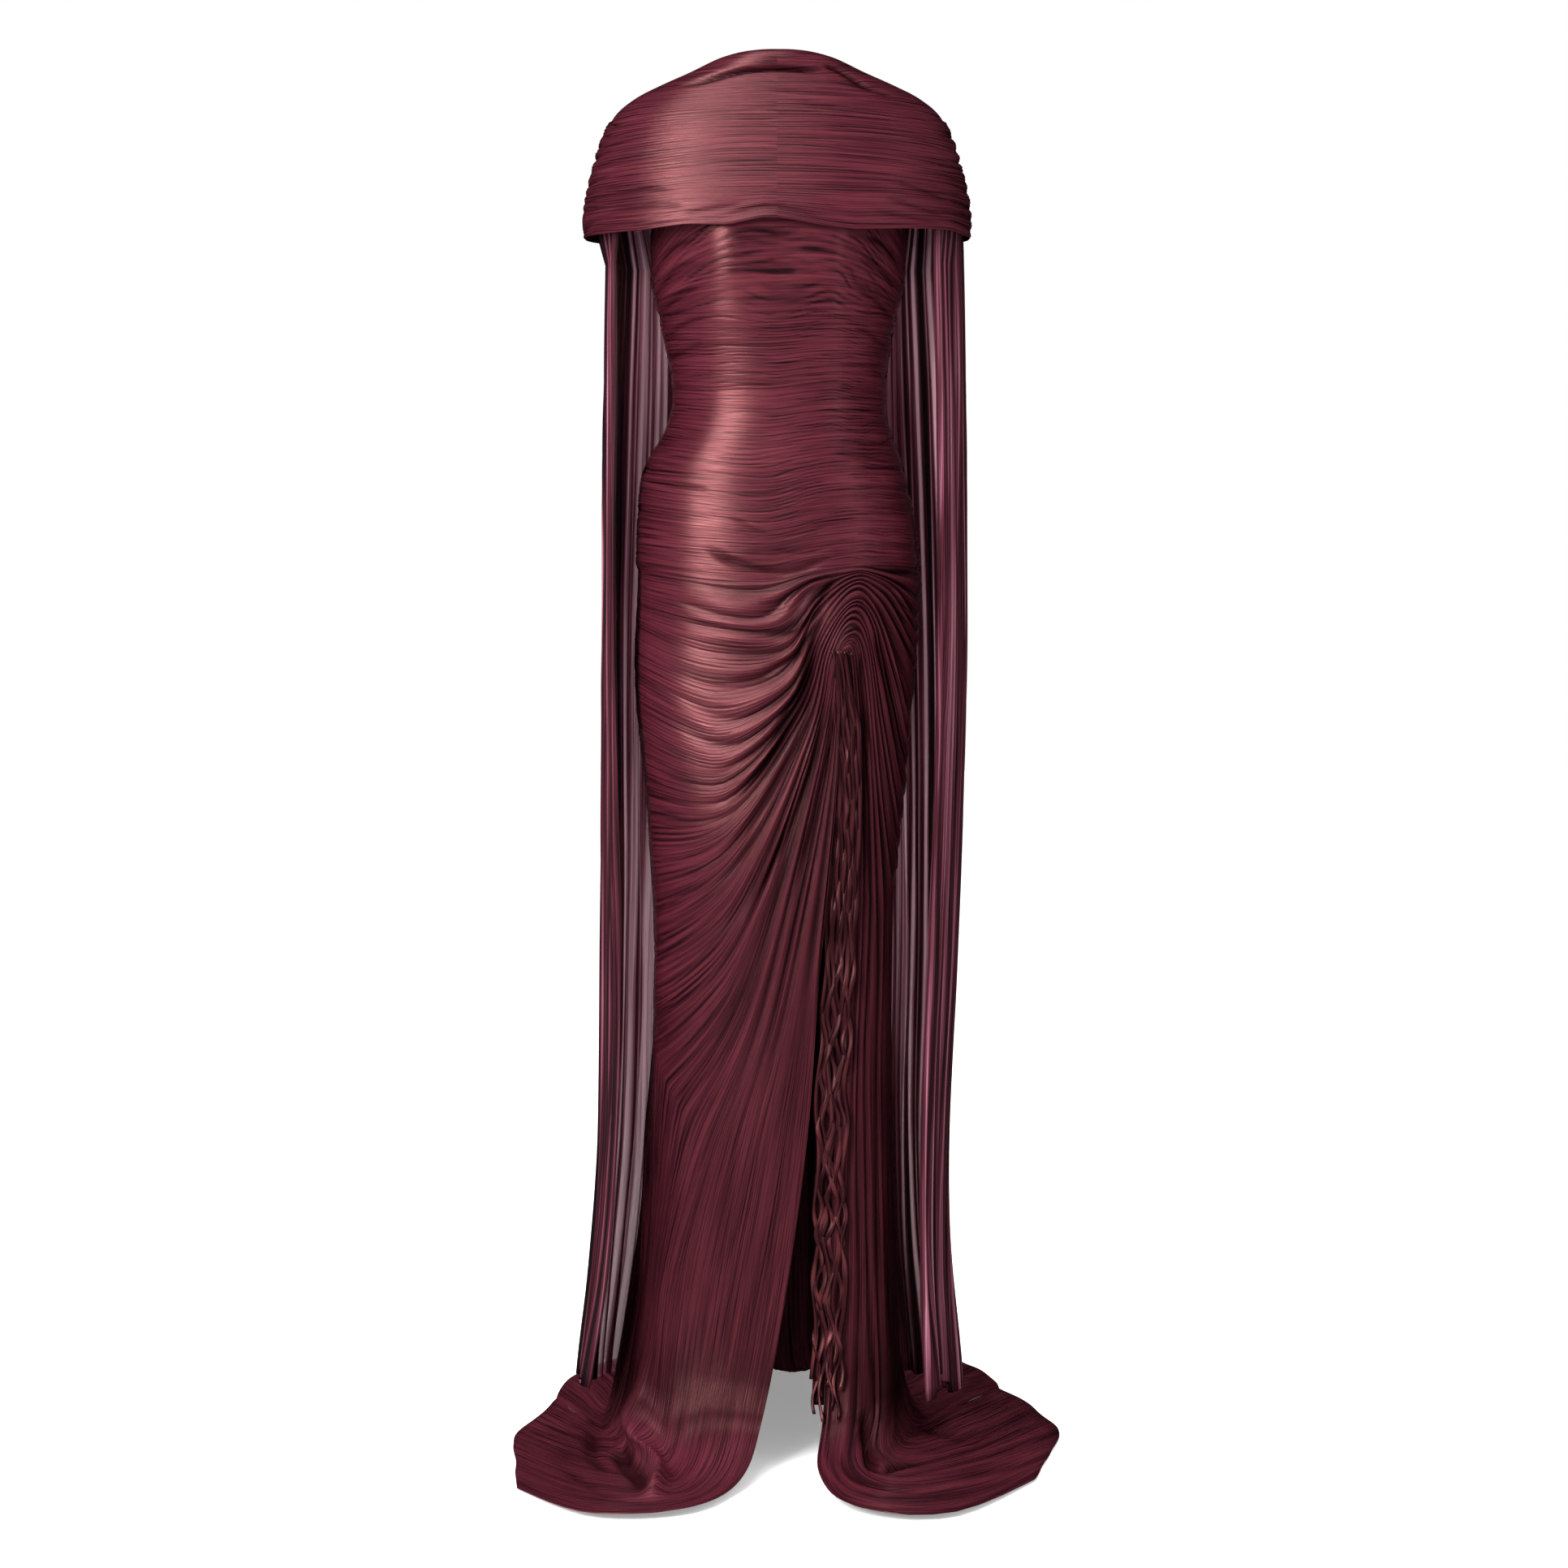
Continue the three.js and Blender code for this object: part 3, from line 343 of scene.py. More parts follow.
def sheerChiffon(name, look):
    # Sheer crinkled chiffon, hand pleated: pale grey-lilac strips between dark folds that stay see-through
    material = bpy.data.materials.new(name)
    material.use_nodes = True
    tree = material.node_tree
    tree.nodes.clear()
    uv = addNode(tree, "ShaderNodeUVMap", {"uv_map": "cloth"})
    rise = addNode(tree, "ShaderNodeAttribute", {"attribute_name": "rise"})
    paintedShading = addNode(tree, "ShaderNodeAttribute", {"attribute_name": "paintedShading"})
    stripScale = addNode(tree, "ShaderNodeMapping", {"Scale": (0.9, 1000 / look["stripMm"], 1)},
                         {"Vector": uv.outputs[0]})
    strips = addNode(tree, "ShaderNodeTexNoise", {"Scale": 1.0, "Detail": 4.0, "Roughness": 0.7},
                     {"Vector": stripScale.outputs[0]})
    crinkleScale = addNode(tree, "ShaderNodeMapping", {"Scale": (8, 1000 / look["crinkleMm"], 1)},
                           {"Vector": uv.outputs[0]})
    crinkle = addNode(tree, "ShaderNodeTexNoise", {"Scale": 1.0, "Detail": 2.0},
                      {"Vector": crinkleScale.outputs[0]})
    spread = addNode(tree, "ShaderNodeMath", {"operation": "MULTIPLY_ADD", 1: 2.4, 2: -1.2},
                     {0: strips.outputs["Fac"]})
    level = addNode(tree, "ShaderNodeMath", {"operation": "ADD"},
                    {0: rise.outputs["Fac"], 1: spread.outputs[0]})
    ramp = addNode(tree, "ShaderNodeValToRGB", {}, {"Fac": level.outputs[0]})
    stops = [(0.12, look["black"]), (0.42, look["wine"]), (0.66, look["mauve"]), (0.95, look["pale"])]
    ramp.color_ramp.elements[0].position = stops[0][0]
    ramp.color_ramp.elements[0].color = linear(stops[0][1])
    ramp.color_ramp.elements[1].position = stops[3][0]
    ramp.color_ramp.elements[1].color = linear(stops[3][1])
    for position, hexColor in stops[1:3]:
        ramp.color_ramp.elements.new(position).color = linear(hexColor)
    # painted light and shade: the colour is scaled by the painted shading attribute
    color = addNode(tree, "ShaderNodeHueSaturation", {"Hue": 0.5, "Saturation": 1.0},
                    {"Color": ramp.outputs[0], "Value": paintedShading.outputs["Fac"]})
    cover = addNode(tree, "ShaderNodeMapRange",
                    {"From Min": 0.6, "From Max": 1.1, "To Min": 0.98, "To Max": 0.78},
                    {"Value": level.outputs[0]})
    bump = addNode(tree, "ShaderNodeBump", {"Strength": 0.6, "Distance": look["crinkleDepthMm"] / 1000},
                   {"Height": crinkle.outputs["Fac"]})
    cloth = addNode(tree, "ShaderNodeBsdfPrincipled",
                    {"Metallic": 0.0, "IOR": 1.45, "Roughness": 0.5, "Specular IOR Level": 0.06},
                    {"Base Color": color.outputs[0], "Alpha": cover.outputs[0], "Normal": bump.outputs[0]})
    addNode(tree, "ShaderNodeOutputMaterial", {}, {"Surface": cloth.outputs[0]})
    return material


bandSatin = plisseSatin("plisseSatinBand", plisse)
bodiceSatin = plisseSatin("plisseSatinBodice", plisse)
skirtSatin = plisseSatin("plisseSatinSkirt", plisse)
ruffleSatin = plisseSatin("plisseSatinRufflePaintedShade", rufflePaintedShadeLook)
wingChiffon = sheerChiffon("sheerPleatedChiffon", chiffon)
print("materials made")

# Shoulder band
bandCut = {
    "pleats": 80, "rowsPerPleat": 4, "columns": 144,
    "s": [0.0, 0.15, 0.3, 0.42, 0.54, 0.64, 0.73, 0.81, 0.88, 0.95, 1.0],
    "zFront": [1432, 1468, 1503, 1534, 1560, 1580, 1597, 1610, 1622, 1636, 1643],
    "front": [128, 121, 112, 103, 95, 88, 82, 77, 72, 68, 60],
    "zSide": [1431, 1462, 1492, 1520, 1548, 1573, 1592, 1606, 1620, 1633, 1638],
    "side": [223, 222, 217, 210, 201, 189, 166, 138, 106, 78, 63],
    "zBack": [1430, 1466, 1502, 1534, 1564, 1588, 1608, 1622, 1634, 1644, 1648],
    "back": [118, 118, 115, 110, 103, 97, 90, 84, 78, 72, 66],
    "squareness": 0.86,
    "pleatHeight": 0.75, "sidePleatHeight": 1.5, "ruching": 3.8, "rollHeight": 3.0, "swell": 0.9,
    "rollAt": 0.865, "rollDrop": 0.13, "ruches": 17, "archHeight": 8, "archWidth": 60, "hemRoll": 1.6,
    "uvRadius": 0.17, "uvHeight": 0.33,  # the cloth's own coordinates, in metres
    "hemAt": [-210, -161, -131, -104, -77, -57, -37, -14, 13, 40, 85, 139, 197, 215],
    "hemRise": [0, 0, 3, 5, 3, 1, 3, 5, 2, 0, -2, 2, 5, 0],
    "creases": [
        dent(-5, 3.2, (-123, 1599), (-85, 1606), (-44, 1616), (-4, 1619), (37, 1617), (65, 1614)),
        dent(-5, 3, (50, 1622), (63, 1620), (79, 1612), (93, 1604), (112, 1594)),
        dent(-3, 3, (60, 1606), (93, 1600), (116, 1593), (139, 1586)),
        dent(-1.6, 2.5, (-20, 1596), (30, 1590), (70, 1589), (100, 1585)),
        dent(-1.4, 2.5, (20, 1580), (50, 1575), (85, 1574)),
        dent(-2, 3, (-60, 1446), (-30, 1455), (0, 1457), (40, 1449), (80, 1444)),
        dent(-1.6, 3, (-110, 1449), (-70, 1455), (-30, 1462)),
        dent(-2.2, 3, (120, 1470), (160, 1459), (195, 1449)),
        dent(-2.2, 3, (130, 1488), (165, 1480), (196, 1467)),
        dent(-1.8, 2.6, (100, 1455), (150, 1448), (190, 1440)),
        dent(-1.6, 3, (-196, 1474), (-160, 1480), (-120, 1478)),
        dent(-1.8, 3, (-200, 1456), (-150, 1461), (-100, 1458)),
    ],
}


def bandBase(s, a):
    def read(name):
        return smooth(bandCut["s"], bandCut[name], s)

    def power(c):
        return np.sign(c) * np.abs(c) ** bandCut["squareness"]

    front, back = np.maximum(0, np.cos(a)) ** 2, np.maximum(0, -np.cos(a)) ** 2
    x = -2 + read("side") * power(np.sin(a))
    y = np.where(np.cos(a) > 0, -read("front"), -read("back")) * power(np.cos(a))
    arch = bandCut["archHeight"] * np.exp(-((x / bandCut["archWidth"]) ** 2))
    arch = arch * front * (1 - ease(0, 0.15, s))
    z = read("zSide") * (1 - front - back) + read("zFront") * front + read("zBack") * back + arch
    return np.stack([x, y, z], -1)


def makeBand():
    cut = bandCut
    rows = cut["pleats"] * cut["rowsPerPleat"]
    s = (np.arange(rows + 1) / rows)[:, None]
    a = (2 * np.pi * np.arange(cut["columns"]) / cut["columns"])[None, :]
    s, a = np.broadcast_arrays(s, a)
    base = bandBase(s, a)
    hem = np.interp(base[..., 0], cut["hemAt"], cut["hemRise"]) * np.maximum(0, np.cos(a)) ** 0.5
    base[..., 2] += hem * (1 - ease(0, 0.3, s))
    sideways = np.abs(np.sin(a)) ** 6
    turn = a / (2 * np.pi)
    wander = 0.9 * softNoise(turn * 8, s * 10, 11, 8) + 0.45 * softNoise(turn * 16, s * 30, 12, 16)
    wander = wander + 1.1 * sideways * softNoise(turn * 28, s * 12, 13, 28)
    phase = cut["pleats"] * s + wander
    relief = pleatRelief(phase, turn * 14, 14)
    height = mix(cut["pleatHeight"], cut["sidePleatHeight"], sideways)
    low = 1 - ease(0.45, 0.8, s)
    ruchePhase = s * cut["ruches"] + 0.9 * softNoise(turn * 12, s * 7 + 3, 15, 12)
    ruche = pleatRelief(ruchePhase, turn * 26, 17, 1.8, 0.4)
    swell = cut["swell"] * softNoise(turn * 12, s * 5, 16, 12)
    folds = cut["ruching"] * sideways * low * ruche * ease(-0.01, 0.05, s)
    rollAt = cut["rollAt"] - cut["rollDrop"] * np.sin(a) ** 2
    onRoll = np.clip((s - rollAt) / (1 - rollAt), 0, 1)
    roll = cut["rollHeight"] * np.maximum(0, np.sin(np.pi * onRoll)) ** 0.6 * np.cos(a) ** 2
    upper = ease(0.9, 1, s)
    crease = creaseLift(base, cut["creases"]) * (np.cos(a) > -0.2)
    edge = cut["hemRoll"] * np.exp(-(((s - 0.012) / 0.012) ** 2))
    lift = 0.3 + relief * height * (1 - 0.7 * upper) + swell * low + folds + roll + crease + edge
    lift = np.where(s > 0.6, np.minimum(lift, 0.8 + roll), lift)
    points = base + normalsOf(base, -1, True) * lift[..., None]
    rise = mix(relief * 0.78, ruche, 0.45 * sideways)
    # painted shade in the creases and on the ruched sides, deepest low down
    paintedShading = (1 + np.clip(crease / 6, -0.75, 0.1)) * mix(1, 0.72, sideways * (0.4 + 0.6 * low))
    around = np.concatenate([a, a[:, :1] + 2 * np.pi], 1) * cut["uvRadius"]
    across = np.repeat(s[:, :1] * cut["uvHeight"], cut["columns"] + 1, 1)
    uv = np.stack([around, across], -1)
    grid = {"points": points, "uv": uv, "rise": rise, "paintedShading": paintedShading, "wrap": True}
    mesh = clothMesh("shoulderBand", [grid], -1)
    return dressPiece("shoulderBandPleated", mesh, "shoulder_band", bandSatin, satinThickness)


bandPiece = makeBand()
print("shoulder band made")


# Line on the band's inside that carries the bodice, as depth and height over x
def insideBandLine(s, side, wall=2.0):
    start = 0.0 if side == "front" else np.pi
    a = start + np.linspace(-np.pi / 2, np.pi / 2, 181)
    line = bandBase(np.array([[s - 0.01], [s], [s + 0.01]]), np.broadcast_to(a, (3, 181)))
    n = normalsOf(line, -1)[1]
    inner = line[1] - n * wall
    order = np.argsort(inner[:, 0])
    return inner[order]


# Skirt front: pleat lines in front view, from the knot's arches to the side seams or down to the train's hem
skirtCut = {
    "split": 11 / 24, "upperPleats": 96, "trainPleats": 70, "rowsPerPleat": 4, "trainRows": 210,
    "columns": {"right train": 34, "right": 24, "left": 32, "left train": 40},
    # the train's columns stand closest where its folds lie
    "leftTrainAt": [[0, 8, 12, 32, 40], [4, 6, 6.6, 8.6, 10]],
    "rightTrainAt": [[0, 9, 13, 28, 34], [3, 6, 6.6, 8.6, 10]],
    "pleatShare": 0.22, "pleatMost": 0.9, "foldShare": 0.6, "foldMost": 7, "foldPleats": 8,
    "trainFoldShare": 0.7, "pleatMm": 5, "hemWave": 9, "hemWaves": 10,
    # painted shade just above the floor, with its height and half height, then painted shade low down and far
    # right, and painted light on the floor
    "footPaintedShade": 0.5, "footAt": [90, 36], "lowPaintedShade": 0.8, "rightPaintedShade": 0.75, "floorPaintedLight": 1.4,
    # main creases in front view, x and height: those drawn into the knot, those that fall right of it,
    # and the one along the hips, which runs on in the bodice
    "creases": [
        dent(-5, 4, (81, 1037), (59, 1028), (49, 1012), (40, 994), (26, 980), (3, 970), (-31, 969)),
        dent(-5, 4, (53, 1000), (40, 975), (25, 953), (3, 937), (-22, 922), (-63, 913)),
        dent(-6, 4.5, (49, 988), (37, 953), (28, 916), (12, 885), (-9, 853), (-47, 822), (-84, 801)),
        dent(-9, 5.5, (44, 953), (33, 916), (25, 891), (9, 860), (-7, 832), (-37, 794), (-75, 759)),
        dent(-6, 5, (40, 916), (31, 872), (16, 834), (0, 803), (-22, 766), (-56, 722), (-94, 681)),
        dent(-6, 5, (53, 916), (47, 860), (35, 810), (19, 766), (0, 719), (-25, 672), (-54, 631)),
        dent(-6, 4.5, (63, 897), (59, 844), (42, 766), (28, 709), (14, 643)),
        dent(-5, 3.5, (94, 953), (96, 916), (100, 872), (103, 829)),
        dent(-4, 4, (109, 979), (115, 947), (124, 913), (131, 872), (138, 829), (139, 782)),
        dent(-3, 4, (112, 1009), (124, 979), (137, 944), (147, 909)),
        dent(-6, 4, (100, 900), (100, 829), (100, 766), (101, 703), (98, 560)),
        dent(-3, 5, (-91, 1073), (-56, 1056), (-19, 1043), (14, 1041), (47, 1051), (75, 1060)),
    ],
    # folds of the train in plan, x and depth: the fold that rolls over on the left, then the pinched hollows
    "floorFolds": [
        dent(24, 9, (-167, -36), (-162, -76), (-154, -109), (-142, -156), (-135, -213), (-140, -264),
             (-149, -290), below=120, start=0.15),
        dent(-14, 9, (-186, -60), (-182, -110), (-170, -160), (-156, -210), (-160, -256), below=60),
        dent(-6, 9, (-223, 60), (-223, -26), (-219, -93), (-202, -140), (-172, -177), below=30),
        dent(-4, 7, (-252, -6), (-250, -119), (-216, -225), (-171, -290), (-99, -290), below=30),
        dent(-13, 8, (95, -99), (101, -113), (105, -138), (111, -176), (141, -150), (181, -100), below=110,
             start=0.3),
        dent(-5, 8, (66, -143), (83, -201), (114, -245), (160, -255), (210, -220), below=60),
        dent(-3, 6, (57, -233), (81, -300), (126, -325), (190, -320), below=30),
        dent(-5, 8, (150, 60), (190, 20), (230, -30), (270, -60), below=40),
    ],
}
leftLines = {
    "v": [0.0, 0.1, 0.2, 0.3, 0.38, 11 / 24, 0.58, 0.72, 0.86, 1.0],
    "apex": [[84, 1048], [87, 1038], [86, 1025], [84, 1008], [82, 992],
             [80, 978], [79, 968], [78, 961], [77, 955], [77, 950]],
    "bend": [[40, 1042], [44, 1012], [46, 982], [52, 964], [57, 952],
             [61, 942], [64, 936], [67, 931], [69, 927], [71, 923]],
    "throat": [[-14, 1031], [2, 962], [10, 905], [20, 880], [31, 862],
               [40, 846], [46, 832], [55, 818], [61, 804], [66, 790]],
    "sweep": [[-88, 1034], [-80, 962], [-70, 864], [-62, 786], [-57, 712],
              [-50, 602], [-30, 535], [-5, 540], [23, 556], [47, 577]],
    "edge": [[-165, 1046], [-166, 988], [-168, 903], [-159, 797], [-150, 655],
             [-148, 494], [-94, 388], [-54, 384], [-12, 384], [33, 387]],
}
rightLines = {
    "v": leftLines["v"],
    "bend": [[112, 1049], [116, 1030], [112, 1008], [107, 988], [103, 973], [99, 960], [95, 951], [92, 943],
             [88, 936], [84, 929]],
    "fall": [[138, 1048], [141, 1008], [136, 960], [127, 905], [121, 872], [115, 846], [109, 828], [103, 812],
             [97, 796], [90, 780]],
    "edge": [[163, 1046], [161, 984], [157, 908], [147, 800], [140, 742], [135, 690], [121, 650], [106, 620],
             [92, 600], [78, 585]],
}
leftTrain = {
    "v": [11 / 24, 0.58, 0.72, 0.86, 1.0],
    "shin": [[-155, 0, 270], [-134, -58, 230], [-91, -86, 225], [-42, -98, 222], [11, -101, 220]],
    "ankle": [[-178, 0, 100], [-150, -70, 92], [-112, -108, 84], [-68, -120, 76], [-18, -122, 66]],
    "toe": [[-196, 0, 34], [-160, -100, 26], [-126, -158, 22], [-88, -204, 18], [-44, -222, 14]],
    "turn": [[-214, 34, 9], [-184, -112, 9], [-158, -200, 9], [-130, -270, 9], [-102, -324, 9]],
    "rest": [[-244, 110, 7], [-236, -62, 7], [-226, -160, 7], [-215, -246, 7], [-206, -334, 7]],
    "hem": [[-281, 221, 7], [-309, 58, 7], [-313, -26, 7], [-303, -128, 7], [-293, -212, 7]],
}
rightTrain = {
    "v": leftTrain["v"],
    "knee": [[132, 0, 480], [119, -46, 450], [103, -66, 436], [84, -82, 424], [66, -90, 412]],
    "shin": [[138, 0, 270], [124, -52, 245], [107, -72, 230], [83, -86, 215], [59, -96, 200]],
    "ankle": [[144, 0, 80], [129, -62, 78], [108, -92, 72], [80, -110, 66], [51, -118, 60]],
    "toe": [[154, 14, 28], [130, -98, 24], [104, -148, 20], [74, -188, 17], [46, -200, 14]],
    "turn": [[178, 62, 9], [160, -92, 9], [145, -184, 9], [120, -264, 9], [84, -318, 9]],
    "rest": [[225, 170, 7], [232, -14, 7], [238, -112, 7], [222, -224, 7], [186, -332, 7]],
    "hem": [[280, 276, 7], [322, 170, 7], [335, 40, 7], [316, -64, 7], [286, -172, 7]],
}


def skirtBase(v, stations):
    # grid of points: a row for each v, a column for each station; stations below 0 lie right of the knot
    v = np.asarray(v, float)
    split = skirtCut["split"]

    def flat(lines, name):
        xz = smooth(lines["v"], lines[name], v)
        return np.stack([xz[:, 0], depthAt(xz[:, 0], xz[:, 1], "front"), xz[:, 1]], -1)

    def free(lines, name):
        return smooth(lines["v"], lines[name], np.maximum(v, split))

    leftPath = [flat(rightLines, "bend"), flat(leftLines, "apex")]
    leftPath += [flat(leftLines, name) for name in ("bend", "throat", "sweep", "edge")]
    leftPath += [free(leftTrain, name) for name in ("shin", "ankle", "toe", "turn", "rest", "hem")]
    rightPath = [flat(leftLines, "bend"), flat(leftLines, "apex")]
    rightPath += [flat(rightLines, name) for name in ("bend", "fall", "edge")]
    rightPath += [free(rightTrain, name) for name in ("knee", "shin", "ankle", "toe", "turn", "rest", "hem")]
    upper = (v < split)[:, None]
    roundness = ease(split, split + 0.2, v)
    columns = []
    for u in stations:
        left = u >= 0
        path, corner = (leftPath, 5) if left else (rightPath, 4)
        at = abs(u) + 1
        p = np.where(upper, along(path[:corner + 1], min(at, corner)), along(path, at, corner, roundness))
        x, y, z = p.T
        edge = -sizeAt(z, "left") if left else sizeAt(z, "right")
        # the side seam runs down the figure's side, and the rest lies on the figure from the knee up
        seam = (v <= split) & (abs(u) >= (4 if left else 3))
        y = np.where(seam, y * (1 - ease(60, 120, z)), mix(y, depthAt(x, z, "front"), ease(360, 520, z)))
        x = np.where(seam & (z > 110), mix(x, edge, ease(110, 300, z)), x)
        columns.append(np.stack([x, y, z], -1))
    return np.stack(columns, 1)


def skirtStations():
    count = skirtCut["columns"]

    def spread(low, high, n):
        return np.linspace(low, high, n + 1)

    right = -np.interp(np.arange(count["right train"], -1, -1), *skirtCut["rightTrainAt"])
    left = np.interp(np.arange(count["left train"] + 1), *skirtCut["leftTrainAt"])
    parts = [right[:-1], spread(-3, 0, count["right"])[:-1], spread(0, 4, count["left"])[:-1], left]
    return np.concatenate(parts)


def skirtLift(base, phase, u):
    # pleats as high as their spacing allows, gathered into folds where the cloth is drawn together
    cut = skirtCut
    alongLine = np.gradient(base, axis=1)
    alongLine /= np.maximum(1e-6, np.linalg.norm(alongLine, axis=2, keepdims=True))
    step = np.gradient(base, axis=0)
    sideStep = step - alongLine * np.sum(step * alongLine, 2, keepdims=True)
    pitch = np.linalg.norm(sideStep, axis=2) / np.maximum(1e-6, np.gradient(phase, axis=0))
    wander = 0.9 * softNoise(u * 0.9 + 40, phase * 0.13, 21) + 0.4 * softNoise(u * 2 + 40, phase * 0.4, 22)
    relief = pleatRelief(phase + wander, u * 1.6 + 40, 23)
    onFloor = 1 - ease(20, 60, base[..., 2])
    fine = np.minimum(cut["pleatMost"] * mix(1, 2.2, onFloor), cut["pleatShare"] * pitch)
    inTrain = mix(cut["upperPleats"], phase, cut["trainFoldShare"])
    group = np.where(phase < cut["upperPleats"], phase, inTrain) / cut["foldPleats"]
    group = group + 0.6 * softNoise(u * 0.8 + 40, phase * 0.1, 24)
    foldRelief = pleatRelief(group, u * 1.2 + 40, 26, 1.4, 0.75)
    near = np.where(u > 0, 1 - ease(2.2, 3.8, u), mix(1, 0.5, ease(2, 3.5, -u)))
    gathered = (1 - ease(2.5, 6.5, pitch)) * near
    foldHeight = np.minimum(cut["foldMost"], cut["foldShare"] * cut["foldPleats"] * pitch)
    fold = foldHeight * mix(0.12, 1, gathered) * mix(1, 0.8, onFloor)
    crease = creaseLift(base, cut["creases"]) + creaseLift(base, cut["floorFolds"], (0, 1))
    tight = gathered * (1 - ease(1.2, 2.6, pitch))
    lift = fine * relief * (1 - tight) + fold * foldRelief + crease
    # rise paints shade into the valleys through the colour ramp, deepest in the gathered folds and on the
    # floor
    rise = mix(mix(0.66, 1, onFloor) * relief + 0.16 * foldRelief - 0.25 * onFloor,
               0.3 * relief * (1 - tight) + mix(0.85, 1.15, tight) * foldRelief - 0.25, gathered)
    x, z = base[..., 0], base[..., 2]
    footZ, footReach = cut["footAt"]
    # painted shading: shade in the gathered folds and creases, a little light on ridges, shade above the
    # floor, low down and far right, and light on the train on the floor
    paintedShading = mix(1, 0.85, gathered) * (1 + np.clip(crease / 7, -0.75, 0.1))
    paintedShading = paintedShading * (1 - cut["footPaintedShade"] * np.exp(-(((z - footZ) / footReach) ** 2)))
    paintedShading = paintedShading * mix(1, cut["lowPaintedShade"], ease(900, 620, z))
    paintedShading = paintedShading * mix(1, cut["rightPaintedShade"], ease(105, 135, x))
    paintedShading = mix(paintedShading, cut["floorPaintedLight"] * (1 + np.clip(crease / 10, -0.65, 0.35)), 0.85 * onFloor)
    return lift, rise, paintedShading


seamLift = 1.4  # height of the raised row at the hidden seam between bodice and skirt
hemRest = {"height": 2.5, "least": 2.2, "share": 0.85}


def layDown(z, share):
    # the hem lies down on the floor, and nothing sinks into it
    return np.maximum(hemRest["least"], mix(z, hemRest["height"], hemRest["share"] * share))


def makeSkirtFront():
    cut = skirtCut
    split = cut["split"]
    upperRows = cut["upperPleats"] * cut["rowsPerPleat"]
    trainRows = cut["trainRows"]
    stations = skirtStations()
    first = cut["columns"]["right train"]
    last = len(stations) - 1 - cut["columns"]["left train"]
    inner = slice(first, last + 1)
    vUpper = np.linspace(0, split, upperRows + 1)
    vUpper[-1] = split - 1e-9
    vTrain = np.linspace(split, 1, trainRows + 1)
    upperBase = skirtBase(vUpper, stations[inner])
    trainBase = skirtBase(vTrain, stations)
    upperBase[-1] = trainBase[0, inner]
    # the outer edge of the train lies in uneven waves
    reach = ease(7.5, 10, np.abs(stations))[None, :]
    wave = softNoise(np.sign(stations)[None, :] * 3 + 40, (vTrain * cut["hemWaves"])[:, None], 27)
    wave = cut["hemWave"] * wave
    away = trainBase - trainBase[:, [len(stations) // 2]]
    away[..., 2] = 0
    away /= np.maximum(1, np.linalg.norm(away, axis=2, keepdims=True))
    trainBase = trainBase + away * (wave * reach * ease(0, 12, np.arange(trainRows + 1))[:, None])[..., None]
    made = []
    for base, rowsV, u in ((upperBase, vUpper, stations[inner]), (trainBase, vTrain, stations)):
        phase = np.where(rowsV <= split, rowsV / split * cut["upperPleats"],
                         cut["upperPleats"] + (rowsV - split) / (1 - split) * cut["trainPleats"])
        phase, u = np.broadcast_arrays(phase[:, None], u[None, :])
        lift, rise, paintedShading = skirtLift(base, phase, u)
        made.append({"base": base, "normal": normalsOf(base, -1), "lift": lift, "rise": rise, "paintedShading": paintedShading,
                     "uv": np.stack([lengthAlong(base, 1), phase * (cut["pleatMm"] / 1000)], -1)})
    upper, train = made
    outside = np.ones(len(stations), bool)
    outside[inner] = False
    train["lift"][:, outside] *= ease(0, 8, np.arange(trainRows + 1))[:, None]
    # the seam to the bodice doesn't show: both pieces end in the same raised row
    seam = ease(0, 5, np.arange(upperRows + 1))[:, None]
    upper["lift"], upper["rise"] = mix(seamLift, upper["lift"], seam), mix(0.7, upper["rise"], seam)
    for key in ("lift", "normal", "rise", "paintedShading"):
        upper[key][-1] = train[key][0, inner]
    for grid in made:
        grid["points"] = grid["base"] + grid["normal"] * (clothLift + grid["lift"])[..., None]
    train["points"][..., 2] = layDown(train["points"][..., 2], ease(8.7, 10, np.abs(stations))[None, :])
    upper["joins"] = np.arange(len(stations))[inner]
    mesh = clothMesh("skirtFront", [train, upper], -1)
    return dressPiece("skirtFrontPleated", mesh, "skirt_front", skirtSatin, satinThickness)


skirtFrontPiece = makeSkirtFront()
print("skirt front made")

